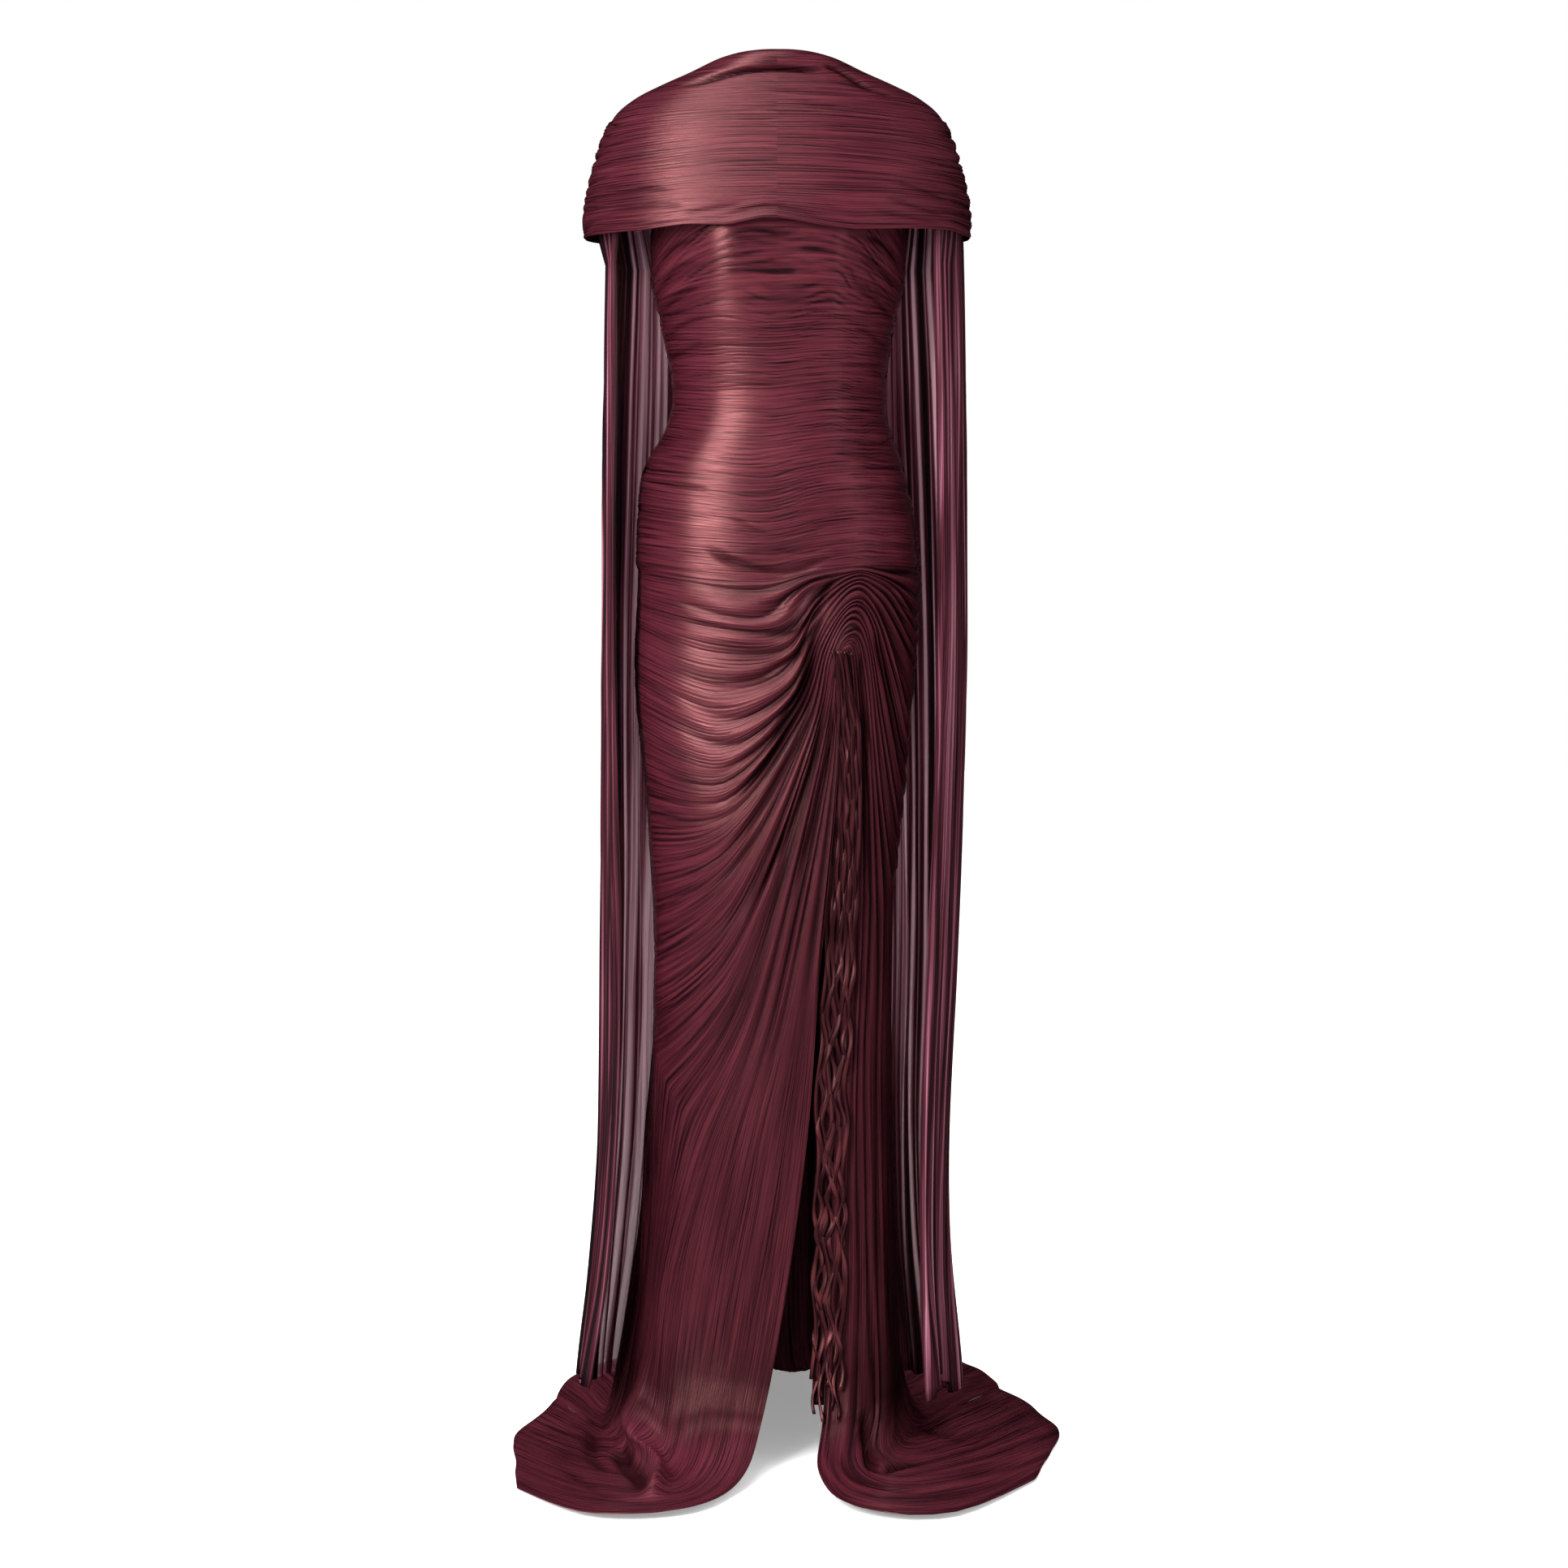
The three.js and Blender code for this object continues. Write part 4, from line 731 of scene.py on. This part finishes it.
# Bodice front and back, ruched across and gathered at the side seams
bodiceCut = {
    "front": {"pleats": 100, "columns": 104, "pleatMm": 4, "outward": -1, "seed": 31},
    "back": {"pleats": 75, "columns": 64, "pleatMm": 5.5, "outward": 1, "seed": 41},
    "rowsPerPleat": 4, "pleatHeight": 0.75, "sidePleatHeight": 1.6, "groupHeight": 1.1,
    "armpit": 1440, "hipSeam": 1046, "seamGap": 0.3, "bandLine": 1 / 3, "underBand": 1.4,
    # where the pleats dip: depth, then place and half width across, then place and half height upwards
    "dips": [[11, 8, 46, 1345, 36], [9, -8, 60, 1118, 42], [6, 84, 26, 1352, 24]], "sideDroop": 15,
    # main creases in front view, x and height
    "creases": [
        dent(-3, 5, (-91, 1073), (-56, 1056), (-19, 1045), (14, 1043), (47, 1054), (75, 1063)),
        dent(-1.1, 3, (-60, 1110), (-30, 1094), (0, 1084), (30, 1088), (70, 1098), (120, 1100)),
        dent(-1.6, 3, (-10, 1068), (30, 1064), (70, 1076), (110, 1078)),
        dent(-2.5, 3.5, (-138, 1400), (-120, 1416), (-90, 1424)),
        dent(-2.5, 3.5, (-140, 1372), (-118, 1392), (-88, 1400)),
        dent(-2.5, 3.5, (-136, 1344), (-112, 1362), (-84, 1368)),
        dent(-2.2, 3.2, (-130, 1316), (-106, 1330), (-80, 1334)),
        dent(-2.2, 3.2, (-126, 1290), (-104, 1300), (-84, 1306)),
        dent(-2.5, 3.5, (136, 1404), (120, 1420), (96, 1428)),
        dent(-2.5, 3.5, (136, 1370), (116, 1392), (90, 1402)),
        dent(-2.2, 3.5, (130, 1336), (110, 1356), (86, 1366)),
        dent(-2, 3.2, (124, 1300), (106, 1316), (84, 1322)),
        dent(-1.6, 3, (-158, 1150), (-120, 1142), (-70, 1136)),
        dent(-1.6, 3, (60, 1180), (100, 1176), (140, 1162)),
    ],
}


def bodiceLift(base, t, c, across, pleats, seed):
    cut = bodiceCut
    x, z = base[..., 0], base[..., 2]
    side = np.abs(across) ** 6
    # the pleats dip under the bust and over the belly, and droop at the sides
    dip = sum(swelling(x, z, row) for row in cut["dips"])
    dip = dip + cut["sideDroop"] * np.abs(across) ** 3 * ease(1215, 1300, z)
    wander = (0.8 * softNoise(c * 4 + 3, t * 10, seed) + 0.5 * softNoise(c * 9 + 3, t * 42, seed + 1)
              + 0.9 * side * softNoise(c * 24 + 3, t * 24, seed + 2))
    phase = pleats * (t + dip / (cut["armpit"] - cut["hipSeam"])) + wander
    relief = pleatRelief(phase, c * 9 + 3, seed + 3, 2.6)
    groupPhase = phase / 6 + 0.15 * softNoise(c * 4 + 3, t * 8, seed + 4)
    group = pleatRelief(groupPhase, c * 6 + 3, seed + 5, 2.0, 0.2)
    underBand = 1 - ease(0.84, 0.94, t)
    crease = creaseLift(base, cut["creases"]) * (base[..., 1] < 0)
    height = mix(cut["pleatHeight"], cut["sidePleatHeight"], side)
    lift = (relief * height + cut["groupHeight"] * mix(0.4, 2.4, side) * group) * underBand + crease
    rise = mix(0.76 * relief + 0.04 * group, 0.4 * relief + 0.4 * group, side)
    # painted shade in the creases and on the gathered sides
    paintedShading = (1 + np.clip(crease / 5, -0.7, 0.1)) * mix(1, 0.72, side)
    return lift, rise, paintedShading


def makeBodice(side):
    cut, panel = bodiceCut, bodiceCut[side]
    outward = panel["outward"]
    rows = panel["pleats"] * cut["rowsPerPleat"]
    t = (np.arange(rows + 1) / rows)[:, None]
    c = np.linspace(0, 1, panel["columns"] + 1)[None, :]
    if side == "front":
        # the front starts along the skirt's first row
        hip = skirtBase([0.0], np.linspace(-3, 4, panel["columns"] + 1))[0]
        across = ((hip[:, 0] - middleAt(hip[:, 2])) / halfWidthAt(hip[:, 2]))[None, :]
        bottom = hip[:, 2][None, :] + cut["seamGap"]
    else:
        across = -np.cos(np.pi * c)
        bottom = cut["hipSeam"] + cut["seamGap"] / 2
    onTop = 1 - np.abs(across) ** 3
    z, across = np.broadcast_arrays(mix(bottom, cut["armpit"], t), across)
    x = middleAt(z) + halfWidthAt(z) * across
    y = depthAt(x, z, side) + outward * cut["seamGap"] / 2
    # the top edge follows the inside of the band
    line = insideBandLine(cut["bandLine"], side)
    at = np.clip(x, -110, 110)
    heldY, heldZ = np.interp(at, line[:, 0], line[:, 1]), np.interp(at, line[:, 0], line[:, 2])
    z = mix(z, heldZ, ease(0.72, 1, t) * onTop)
    y = mix(y, heldY - outward * cut["underBand"], ease(0.8, 1, t) * ease(0.55, 0.95, onTop))
    base = np.stack([x, y, z], -1)
    if side == "front":
        base[0] = hip + [0, 0, cut["seamGap"]]
    n = normalsOf(base, 1)
    n[:, 0], n[:, -1] = [-outward, 0, 0], [outward, 0, 0]
    tt, cc = np.broadcast_arrays(t, c)
    lift, rise, paintedShading = bodiceLift(base, tt, cc, across, panel["pleats"], panel["seed"])
    if side == "front":
        seam = ease(0, 5, np.arange(rows + 1))[:, None]
        lift, rise = mix(seamLift, lift, seam), mix(0.7, rise, seam)
    points = base + n * (clothLift + lift)[..., None]
    uv = np.stack([lengthAlong(base, 1), tt * panel["pleats"] * (panel["pleatMm"] / 1000)], -1)
    grid = {"points": points, "uv": uv, "rise": rise, "paintedShading": paintedShading}
    mesh = clothMesh("bodice" + side.title(), [grid], 1)
    return dressPiece("bodice" + side.title() + "Ruched", mesh, "bodice_" + side, bodiceSatin, satinThickness)


bodiceFrontPiece = makeBodice("front")
bodiceBackPiece = makeBodice("back")
print("bodice made")

# Skirt back with its share of the train
backCut = {
    "t": [0.0, 0.1, 0.2, 0.3, 0.4, 0.5, 0.6, 0.68, 0.78, 0.89, 1.0],
    "x": [0, 0, 0, -2, -4, -6, -8, -8, -4, 0, 0],
    "y": [112, 117, 106, 108, 138, 190, 244, 296, 372, 462, 552],
    "z": [1046, 930, 790, 630, 430, 250, 100, 32, 9, 7, 7],
    "folds": 10, "pleats": 90, "rows": 110, "columnsPerPleat": 4, "foldHeight": 7, "pleatHeight": 1.1,
    "seamGap": 0.3, "tuck": 1.8, "hemWave": 10,
    "pleatMm": 8, "upperPaintedShade": 0.95, "lowPaintedShade": 0.8, "floorPaintedLight": 1.6,
    # heights down each side seam, then the stations of the skirt front's split row that the back follows
    "leftUpper": [1046, 900, 760, 640], "leftStations": [4, 5, 6, 6.7, 7.3, 7.8, 8.2, 8.6, 9, 9.5, 10],
    "rightUpper": [1046, 960, 870], "rightStations": [3, 4, 5, 6, 6.7, 7.3, 7.8, 8.2, 8.6, 9, 9.5, 10],
}


def sideSeam(t, side):
    upper = backCut["leftUpper" if side < 0 else "rightUpper"]
    stations = backCut["leftStations" if side < 0 else "rightStations"]
    count = len(upper) + len(stations) - 1
    index = t * count
    corner = skirtBase([skirtCut["split"]], [-side * stations[0]])[0, 0]
    z = np.interp(index, np.arange(len(upper) + 1), upper + [corner[2]])
    size = sizeAt(z, "left" if side < 0 else "right")
    body = np.stack([side * size, 0 * z, z], -1)
    u = np.interp(index, len(upper) + np.arange(len(stations)), stations)
    lower = skirtBase([skirtCut["split"]], -side * u)[0]
    return np.where((index < len(upper))[:, None], body, lower)


def makeSkirtBack():
    cut = backCut
    columns = cut["pleats"] * cut["columnsPerPleat"]
    t = np.linspace(0, 1, cut["rows"] + 1)
    c = np.linspace(0, 1, columns + 1)
    left, right = sideSeam(t, -1), sideSeam(t, 1)
    # a hair's gap from the front at both seams, tucked under it on the floor
    for seam in (left, right):
        seam[:, 1] += cut["seamGap"] - cut["tuck"] * ease(100, 45, seam[:, 2])
    back = np.stack([smooth(cut["t"], cut[axis], t) for axis in "xyz"], -1)
    angle = np.pi * c
    roundness = (np.sin(angle) ** (2 / plump))[None, :]
    half = ((1 - np.cos(angle)) / 2)[None, :]
    x = mix(left[:, None, 0], right[:, None, 0], half) + back[:, None, 0] * roundness
    y = mix(left[:, None, 1], right[:, None, 1], c[None, :]) * (1 - roundness) + back[:, None, 1] * roundness
    z = mix(mix(left[:, None, 2], right[:, None, 2], c[None, :]), back[:, None, 2],
            (np.maximum(0, np.sin(angle)) ** 0.8)[None, :])
    base = np.stack([x, y, z], -1)
    n = normalsOf(base, -1)
    j = c[None, :] * cut["folds"] * 3
    opened = ease(0, 0.35, t)[:, None] * ease(0, 3, j) * ease(0, 3, cut["folds"] * 3 - j)
    opened = opened * mix(1, 0.4, ease(0.56, 0.74, t))[:, None]
    fold = cut["foldHeight"] * opened * np.cos(2 * np.pi * j / 3 + 0.5 * np.sin(j)) - 3 * opened
    tt, cc = np.broadcast_arrays(t[:, None], c[None, :])
    wander = 0.5 * softNoise(tt * 5, cc * 40, 51) + 0.8 * softNoise(tt * 3, cc * 12, 52)
    phase = cut["pleats"] * cc + wander
    relief = pleatRelief(phase, tt * 8 + 3, 53)
    edge = ease(0, 0.02, cc) * ease(0, 0.02, 1 - cc)
    wave = cut["hemWave"] * softNoise(cc * 14, 0 * cc + 5, 54) * ease(0.85, 1, tt) * edge
    base[..., 1] += wave
    lift = fold + cut["pleatHeight"] * relief * edge
    rise = 0.66 * relief + 0.2 * (0.5 + fold / (2 * cut["foldHeight"]))
    # painted shade a little above and more low down, and painted light where it lies on the floor
    paintedShading = mix(cut["upperPaintedShade"], cut["lowPaintedShade"], ease(0.25, 0.5, tt))
    paintedShading = paintedShading * mix(1, cut["floorPaintedLight"], ease(0.64, 0.72, tt))
    points = base + n * (clothLift + lift)[..., None]
    points[..., 2] = layDown(points[..., 2], ease(0.88, 1, t)[:, None])
    uv = np.stack([lengthAlong(base, 0), cc * cut["pleats"] * (cut["pleatMm"] / 1000)], -1)
    mesh = clothMesh("skirtBack", [{"points": points, "uv": uv, "rise": rise, "paintedShading": paintedShading}], -1)
    return dressPiece("skirtBackPleated", mesh, "skirt_back", skirtSatin, satinThickness)


skirtBackPiece = makeSkirtBack()
print("skirt back made")

# Wings of sheer cloth that hang from inside the band; tone runs from near black at 0 to pale at 1 across them
wingCut = {
    "folds": 14, "columnsPerFold": 12, "rows": 80, "foldHeight": 4.6, "hemFoldHeight": 7.5, "crinkle": 0.9,
    "from": 0.3, "to": 0.86, "inward": 5.4, "bandLine": 8 / 60, "bandWall": 2.0, "hangsFrom": 1400,
    "topPaintedShade": 0.55, "frontPaintedShade": 0.85, "backPaintedLight": 1.9,
}
leftWing = {
    "z": [60, 90, 220, 380, 620, 930, 1230, 1400],
    "front": [[-230, -86], [-226, -84], [-204, -74], [-192, -68], [-188, -66], [-190, -64], [-190, -62],
              [-190, -60]],
    "outer": [[-237, -15], [-235, -14], [-222, -10], [-212, -8], [-209, -8], [-206, -8], [-202, -8],
              [-199, -8]],
    "rear": [[-227, 98], [-225, 96], [-214, 88], [-202, 84], [-196, 82], [-196, 80], [-188, 74],
             [-181, 58]],
    "back": [[-182, 190], [-178, 186], [-155, 166], [-138, 148], [-130, 142], [-120, 142], [-104, 128],
             [-104, 91]],
    "hemAt": [0, 0.1, 0.2, 0.33, 0.5, 0.667, 0.75, 0.85, 0.93, 1],
    "hem": [86, 98, 104, 88, 62, 57, 55, 54, 54, 56],
    # tone is partly the layers seen together, partly painted: shade in the dark strips, light where one layer
    # has light behind it
    "toneAt": [0, 0.05, 0.1, 0.25, 0.29, 0.33, 0.4, 0.46, 0.52, 0.6, 0.66, 0.68, 0.7,
               0.715, 0.73, 0.745, 0.757, 0.77, 0.785, 0.8, 0.815, 0.83, 0.87, 0.89, 0.91, 1],
    "tone": [0.3, 0.32, 0.34, 0.28, 0.08, 0.28, 0.3, 0.6, 0.32, 0.4, 0.3, 0.1, 0.12,
             0.9, 0.35, 0.95, 0.6, 1.05, 0.35, 0.9, 0.6, 0.95, 0.88, 0.2, 0.36, 0.34],
}
rightWing = {
    "z": [60, 90, 220, 380, 620, 930, 1230, 1400],
    "front": [[178, -88], [176, -88], [168, -84], [168, -82], [176, -80], [184, -80], [184, -78], [180, -68]],
    "outer": [[204, -15], [202, -14], [196, -10], [198, -8], [209, -8], [218, -8], [216, -8], [213, -8]],
    "rear": [[212, 100], [210, 98], [196, 88], [190, 84], [196, 84], [200, 84], [194, 78], [184, 58]],
    "back": [[142, 170], [140, 168], [132, 156], [130, 146], [132, 142], [122, 142], [104, 128], [104, 91]],
    "hemAt": [0, 0.08, 0.17, 0.26, 0.33, 0.5, 0.667, 0.8, 0.92, 1],
    "hem": [70, 84, 100, 82, 66, 58, 54, 52, 52, 54],
    # tone is partly the layers seen together, partly painted: shade in the dark strips, light where one layer
    # has light behind it
    "toneAt": [0, 0.04, 0.1, 0.2, 0.3, 0.34, 0.4, 0.46, 0.52, 0.6, 0.655, 0.667, 0.682,
               0.697, 0.712, 0.727, 0.742, 0.757, 0.772, 0.787, 0.802, 0.817, 0.832, 0.847, 0.862, 1],
    "tone": [0.42, 0.52, 0.42, 0.42, 0.34, 0.05, 0.34, 0.6, 0.32, 0.4, 0.3, 0.8, 0.05,
             0.95, 0.3, 1.0, 0.05, 0.1, 1.0, 0.1, 0.9, 0.05, 1.0, 0.2, 0.7, 0.2],
}


def makeWing(name, node, table, side, seed):
    cut = wingCut
    columns = cut["folds"] * cut["columnsPerFold"]
    c = np.linspace(0, 1, columns + 1)
    angle = side * mix(cut["from"], cut["to"], c) * np.pi
    bandRows = cut["bandLine"] + np.array([-0.01, 0, 0.01])
    lines = bandBase(*np.broadcast_arrays(bandRows[:, None], angle[None, :]))
    n = normalsOf(lines, -side)[1]
    outward = np.sign(np.sum(n[:, :2] * lines[1][:, :2], 1))[:, None]
    inward = np.stack([-np.sin(angle), np.cos(angle) * 0.6, 0 * angle], -1)
    inward /= np.linalg.norm(inward, axis=1, keepdims=True)
    top = lines[1] - n * outward * cut["bandWall"] + inward * cut["inward"]
    t = np.linspace(0, 1, cut["rows"] + 1)[:, None]
    hangsFrom = cut["hangsFrom"]
    z = hangsFrom - (hangsFrom - np.interp(c, table["hemAt"], table["hem"]))[None, :] * t
    hang = []
    for j, part in enumerate(c):
        plan = [np.concatenate([smooth(table["z"], table[corner], z[:, j]), z[:, j:j + 1]], 1)
                for corner in ("front", "outer", "rear", "back")]
        hang.append(along(plan, part * 3))
    hang = np.stack(hang, 1)
    # four more rows lead from the band's inside to where the wing hangs free
    above = [top * (1 - f) + hang[0] * f for f in (0, 0.25, 0.5, 0.75)]
    base = np.concatenate([np.stack(above), hang], 0)
    normals = normalsOf(base, side)
    zz = base[..., 2]
    j, cc, tone = (np.broadcast_to(row[None, :], zz.shape) for row in (
        c * cut["folds"] * 2, c, np.interp(c, table["toneAt"], table["tone"])))
    height = mix(cut["foldHeight"], cut["hemFoldHeight"], ease(330, 90, zz))
    height = height * mix(0.55, 1, ease(1465, hangsFrom, zz))
    drift = 0.5 * softNoise(zz / 260 + 20, cc * 22, seed)
    wave = -np.cos(np.pi * (j + drift)) * (0.65 + 0.35 * softNoise(zz / 400 + 20, cc * 15, seed + 2))
    fine = cut["crinkle"] * crest(j * 1.5 + 0.4 * softNoise(zz / 120 + 20, cc * 40, seed + 1))
    points = base + normals * (np.sign(wave) * np.abs(wave) ** 0.8 * height + fine)[..., None]
    uv = np.stack([lengthAlong(base, 0), lengthAlong(points, 1)[:1].repeat(len(base), 0)], -1)
    rise = tone + 0.08 * softNoise(zz / 300 + 20, cc * 30, seed + 3)
    # painted shade under the band, in fold hollows and in front; painted light on fold ridges and at the
    # back, where light comes through one layer alone
    paintedShading = mix(1, cut["topPaintedShade"], ease(1380, 1440, zz)) * (0.9 + 0.15 * wave)
    paintedShading = paintedShading * mix(cut["frontPaintedShade"], cut["backPaintedLight"], ease(0.62, 0.69, cc))
    mesh = clothMesh(name, [{"points": points, "uv": uv, "rise": rise, "paintedShading": paintedShading}], side)
    return dressPiece(name, mesh, node, wingChiffon, sheerThickness)


leftWingPiece = makeWing("leftWingSheer", "left_wing", leftWing, -1, 61)
rightWingPiece = makeWing("rightWingSheer", "right_wing", rightWing, 1, 71)
print("wings made")

# Frill of narrow crossing ribbons over a pleated strip, hung from the knot's core over the slit
frillCut = {
    "line": 0.906, "rows": 190, "columns": 4, "top": 952, "spreadBy": 850,
    "backTop": 950, "backWidth": 33, "backColumns": 12, "backPleats": 6, "backEnd": 74,
    # a column for each ribbon
    "offset": [1, 5, 9, 13, 17, 21, 25, 29, 33], "width": [7, 6, 8, 6, 8, 7, 7, 6, 6],
    "wave": [92, 68, 104, 76, 60, 96, 72, 64, 110], "sway": [3, 4, 3.5, 4.5, 4, 4.5, 3.5, 3.5, 2.5],
    "end": [92, 60, 120, 70, 96, 58, 84, 66, 104],
}


def makeFrill():
    cut = frillCut
    seat = skirtBase([cut["line"]], np.linspace(-0.35, -6.1, 400))[0]
    seat = seat[np.argsort(-seat[:, 2])]

    def seatAt(z):
        return np.interp(-z, -seat[:, 2], seat[:, 0]), np.interp(-z, -seat[:, 2], seat[:, 1])

    z = np.linspace(cut["backTop"], cut["backEnd"], cut["rows"] + 1)
    x, y = seatAt(z)
    wide = cut["backWidth"] * mix(0.4, 1, ease(cut["backTop"], cut["spreadBy"], z))
    across = np.linspace(0, 1, cut["backColumns"] + 1)[None, :]
    pleat = np.cos(np.pi * cut["backPleats"] * across + 0.8 * softNoise((z / 70)[:, None], across * 3, 82))
    back = np.stack([x[:, None] - across * wide[:, None], y[:, None] - 2.6 - 0.8 * pleat,
                     z[:, None] + 0 * across], -1)
    uv = np.stack([lengthAlong(back, 0), across * (cut["backWidth"] / 1000) + 0 * back[..., 0]], -1)
    # the pleated strip behind the ribbons is painted in shade, lighter on its pleats' crests
    grids = [{"points": back, "uv": uv, "rise": 0.4 + 0.25 * pleat, "paintedShading": 0.6 + 0 * pleat}]
    for k in range(len(cut["offset"])):
        z = np.linspace(cut["top"], cut["end"][k], cut["rows"] + 1)
        x, y = seatAt(z)
        free = ease(cut["top"], cut["spreadBy"], z)
        turn = 2 * np.pi * z / cut["wave"][k] + 2.3 * k + 1.3 * softNoise(z / 80 + 5, 0 * z + k, 81)
        tail = ease(180, 60, z)
        centre = np.stack([x - mix(9 + 0.45 * cut["offset"][k], cut["offset"][k], free)
                           + cut["sway"][k] * np.sin(turn) * mix(0.25, 1, ease(700, 420, z)),
                           y - 4.6 - 1.8 * (1 + np.cos(turn + np.pi * (k % 2))) - 2 * tail, z], -1)
        twist = 0.7 * np.sin(turn * 0.8 + 0.8)
        spread = np.linspace(-0.5, 0.5, cut["columns"] + 1)[None, :]
        reach = spread * (cut["width"][k] * mix(0.6, 1, free) * mix(1, 0.55, tail))[:, None]
        curl = 1.0 - 4 * spread**2
        points = np.stack([centre[:, None, 0] + reach * np.cos(twist)[:, None],
                           centre[:, None, 1] - 0.7 * reach * np.sin(twist)[:, None] - 1.1 * curl,
                           centre[:, None, 2] + 0 * reach], -1)
        # painted glints low down on the ribbons, painted light along each ribbon's curled middle, and painted
        # shade over the rest
        paintedGlint = ease(600, 200, z)[:, None] * np.maximum(0, np.sin(turn * 1.3))[:, None]
        rise = 0.35 + 0.45 * curl + 0.35 * paintedGlint
        uv = np.stack([lengthAlong(points, 0), reach / 1000 + 0.1 * k], -1)
        grids.append({"points": points, "uv": uv, "rise": rise, "paintedShading": 0.7 + 0.7 * paintedGlint + 0 * reach})
    mesh = clothMesh("slitFrill", grids, -1)
    return dressPiece("slitFrillRibbons", mesh, "slit_ruffle", ruffleSatin, sheerThickness)


frillPiece = makeFrill()
print("slit frill made")

# Floor, light and camera
studio = {
    "cameraDistance": 4.2, "cameraHeight": 1.05, "tiltDegrees": 3.52, "lens": 81.65, "sideways": 0.00575,
    "floor": "#ffffff", "floorReach": 14.0, "floorGlow": 0.3, "world": 1.0,
}
lights = {
    "keySoftbox": {"at": (-1.8, -2.8, 0.7), "size": (1.3, 1.9), "power": 220},
    "fillSoftbox": {"at": (2.6, -3.0, 0.2), "size": (0.8, 2.4), "power": 14},
    "topSoftbox": {"at": (-0.6, -1.2, 2.6), "size": (1.6, 1.6), "power": 70},
    "backSoftbox": {"at": (0.8, 2.6, 1.7), "size": (1.6, 1.0), "power": 45, "gleams": False},
}
lightsAimAt = -0.65  # height of the point on the dress that every softbox faces

floorMaterial = bpy.data.materials.new("paleStudioPaper")
floorMaterial.use_nodes = True
floorShader = floorMaterial.node_tree.nodes["Principled BSDF"]
floorShader.inputs["Base Color"].default_value = linear(studio["floor"])
floorShader.inputs["Roughness"].default_value = 0.9
floorShader.inputs["Specular IOR Level"].default_value = 0
# the paper is lit from below as well, so shadows on it stay faint
floorShader.inputs["Emission Color"].default_value = (1, 1, 1, 1)
floorShader.inputs["Emission Strength"].default_value = studio["floorGlow"]
floorMesh = bpy.data.meshes.new("studioFloor")
reach = studio["floorReach"]
floorMesh.from_pydata([(-reach, -reach, 0), (reach, -reach, 0), (reach, reach, 0), (-reach, reach, 0)], [],
                      [(0, 1, 2, 3)])
floor = bpy.data.objects.new("studioFloor", floorMesh)
floor.location.z = -shoulderHeight / 1000
floorMesh.materials.append(floorMaterial)
bpy.context.collection.objects.link(floor)

world = bpy.data.worlds.new("studioWorld")
world.use_nodes = True
world.node_tree.nodes["Background"].inputs["Color"].default_value = (1, 1, 1, 1)
world.node_tree.nodes["Background"].inputs["Strength"].default_value = studio["world"]
bpy.context.scene.world = world
world.cycles_visibility.glossy = False  # the softboxes alone make the satin gleam
floor.visible_glossy = False
bpy.context.scene.view_settings.view_transform = "Standard"  # keeps the deep wine red saturated

for name, light in lights.items():
    data = bpy.data.lights.new(name, "AREA")
    data.shape = "RECTANGLE"
    data.size, data.size_y = light["size"]
    data.energy = light["power"]
    lamp = bpy.data.objects.new(name, data)
    lamp.location = light["at"]
    lamp.visible_glossy = light.get("gleams", True)
    aim = -lamp.location.copy()
    aim.z = lightsAimAt - lamp.location.z
    lamp.rotation_euler = aim.to_track_quat("-Z", "Y").to_euler()
    bpy.context.collection.objects.link(lamp)

cameraData = bpy.data.cameras.new("studioCamera")
cameraData.lens = studio["lens"]
cameraData.sensor_width = 36
cameraData.clip_end = 60
camera = bpy.data.objects.new("studioCamera", cameraData)
cameraAt = studio["cameraHeight"] - shoulderHeight / 1000
camera.location = (studio["sideways"], -studio["cameraDistance"], cameraAt)
camera.rotation_euler = (math.radians(90 - studio["tiltDegrees"]), 0, 0)
bpy.context.collection.objects.link(camera)
bpy.context.scene.camera = camera
print("studio made")
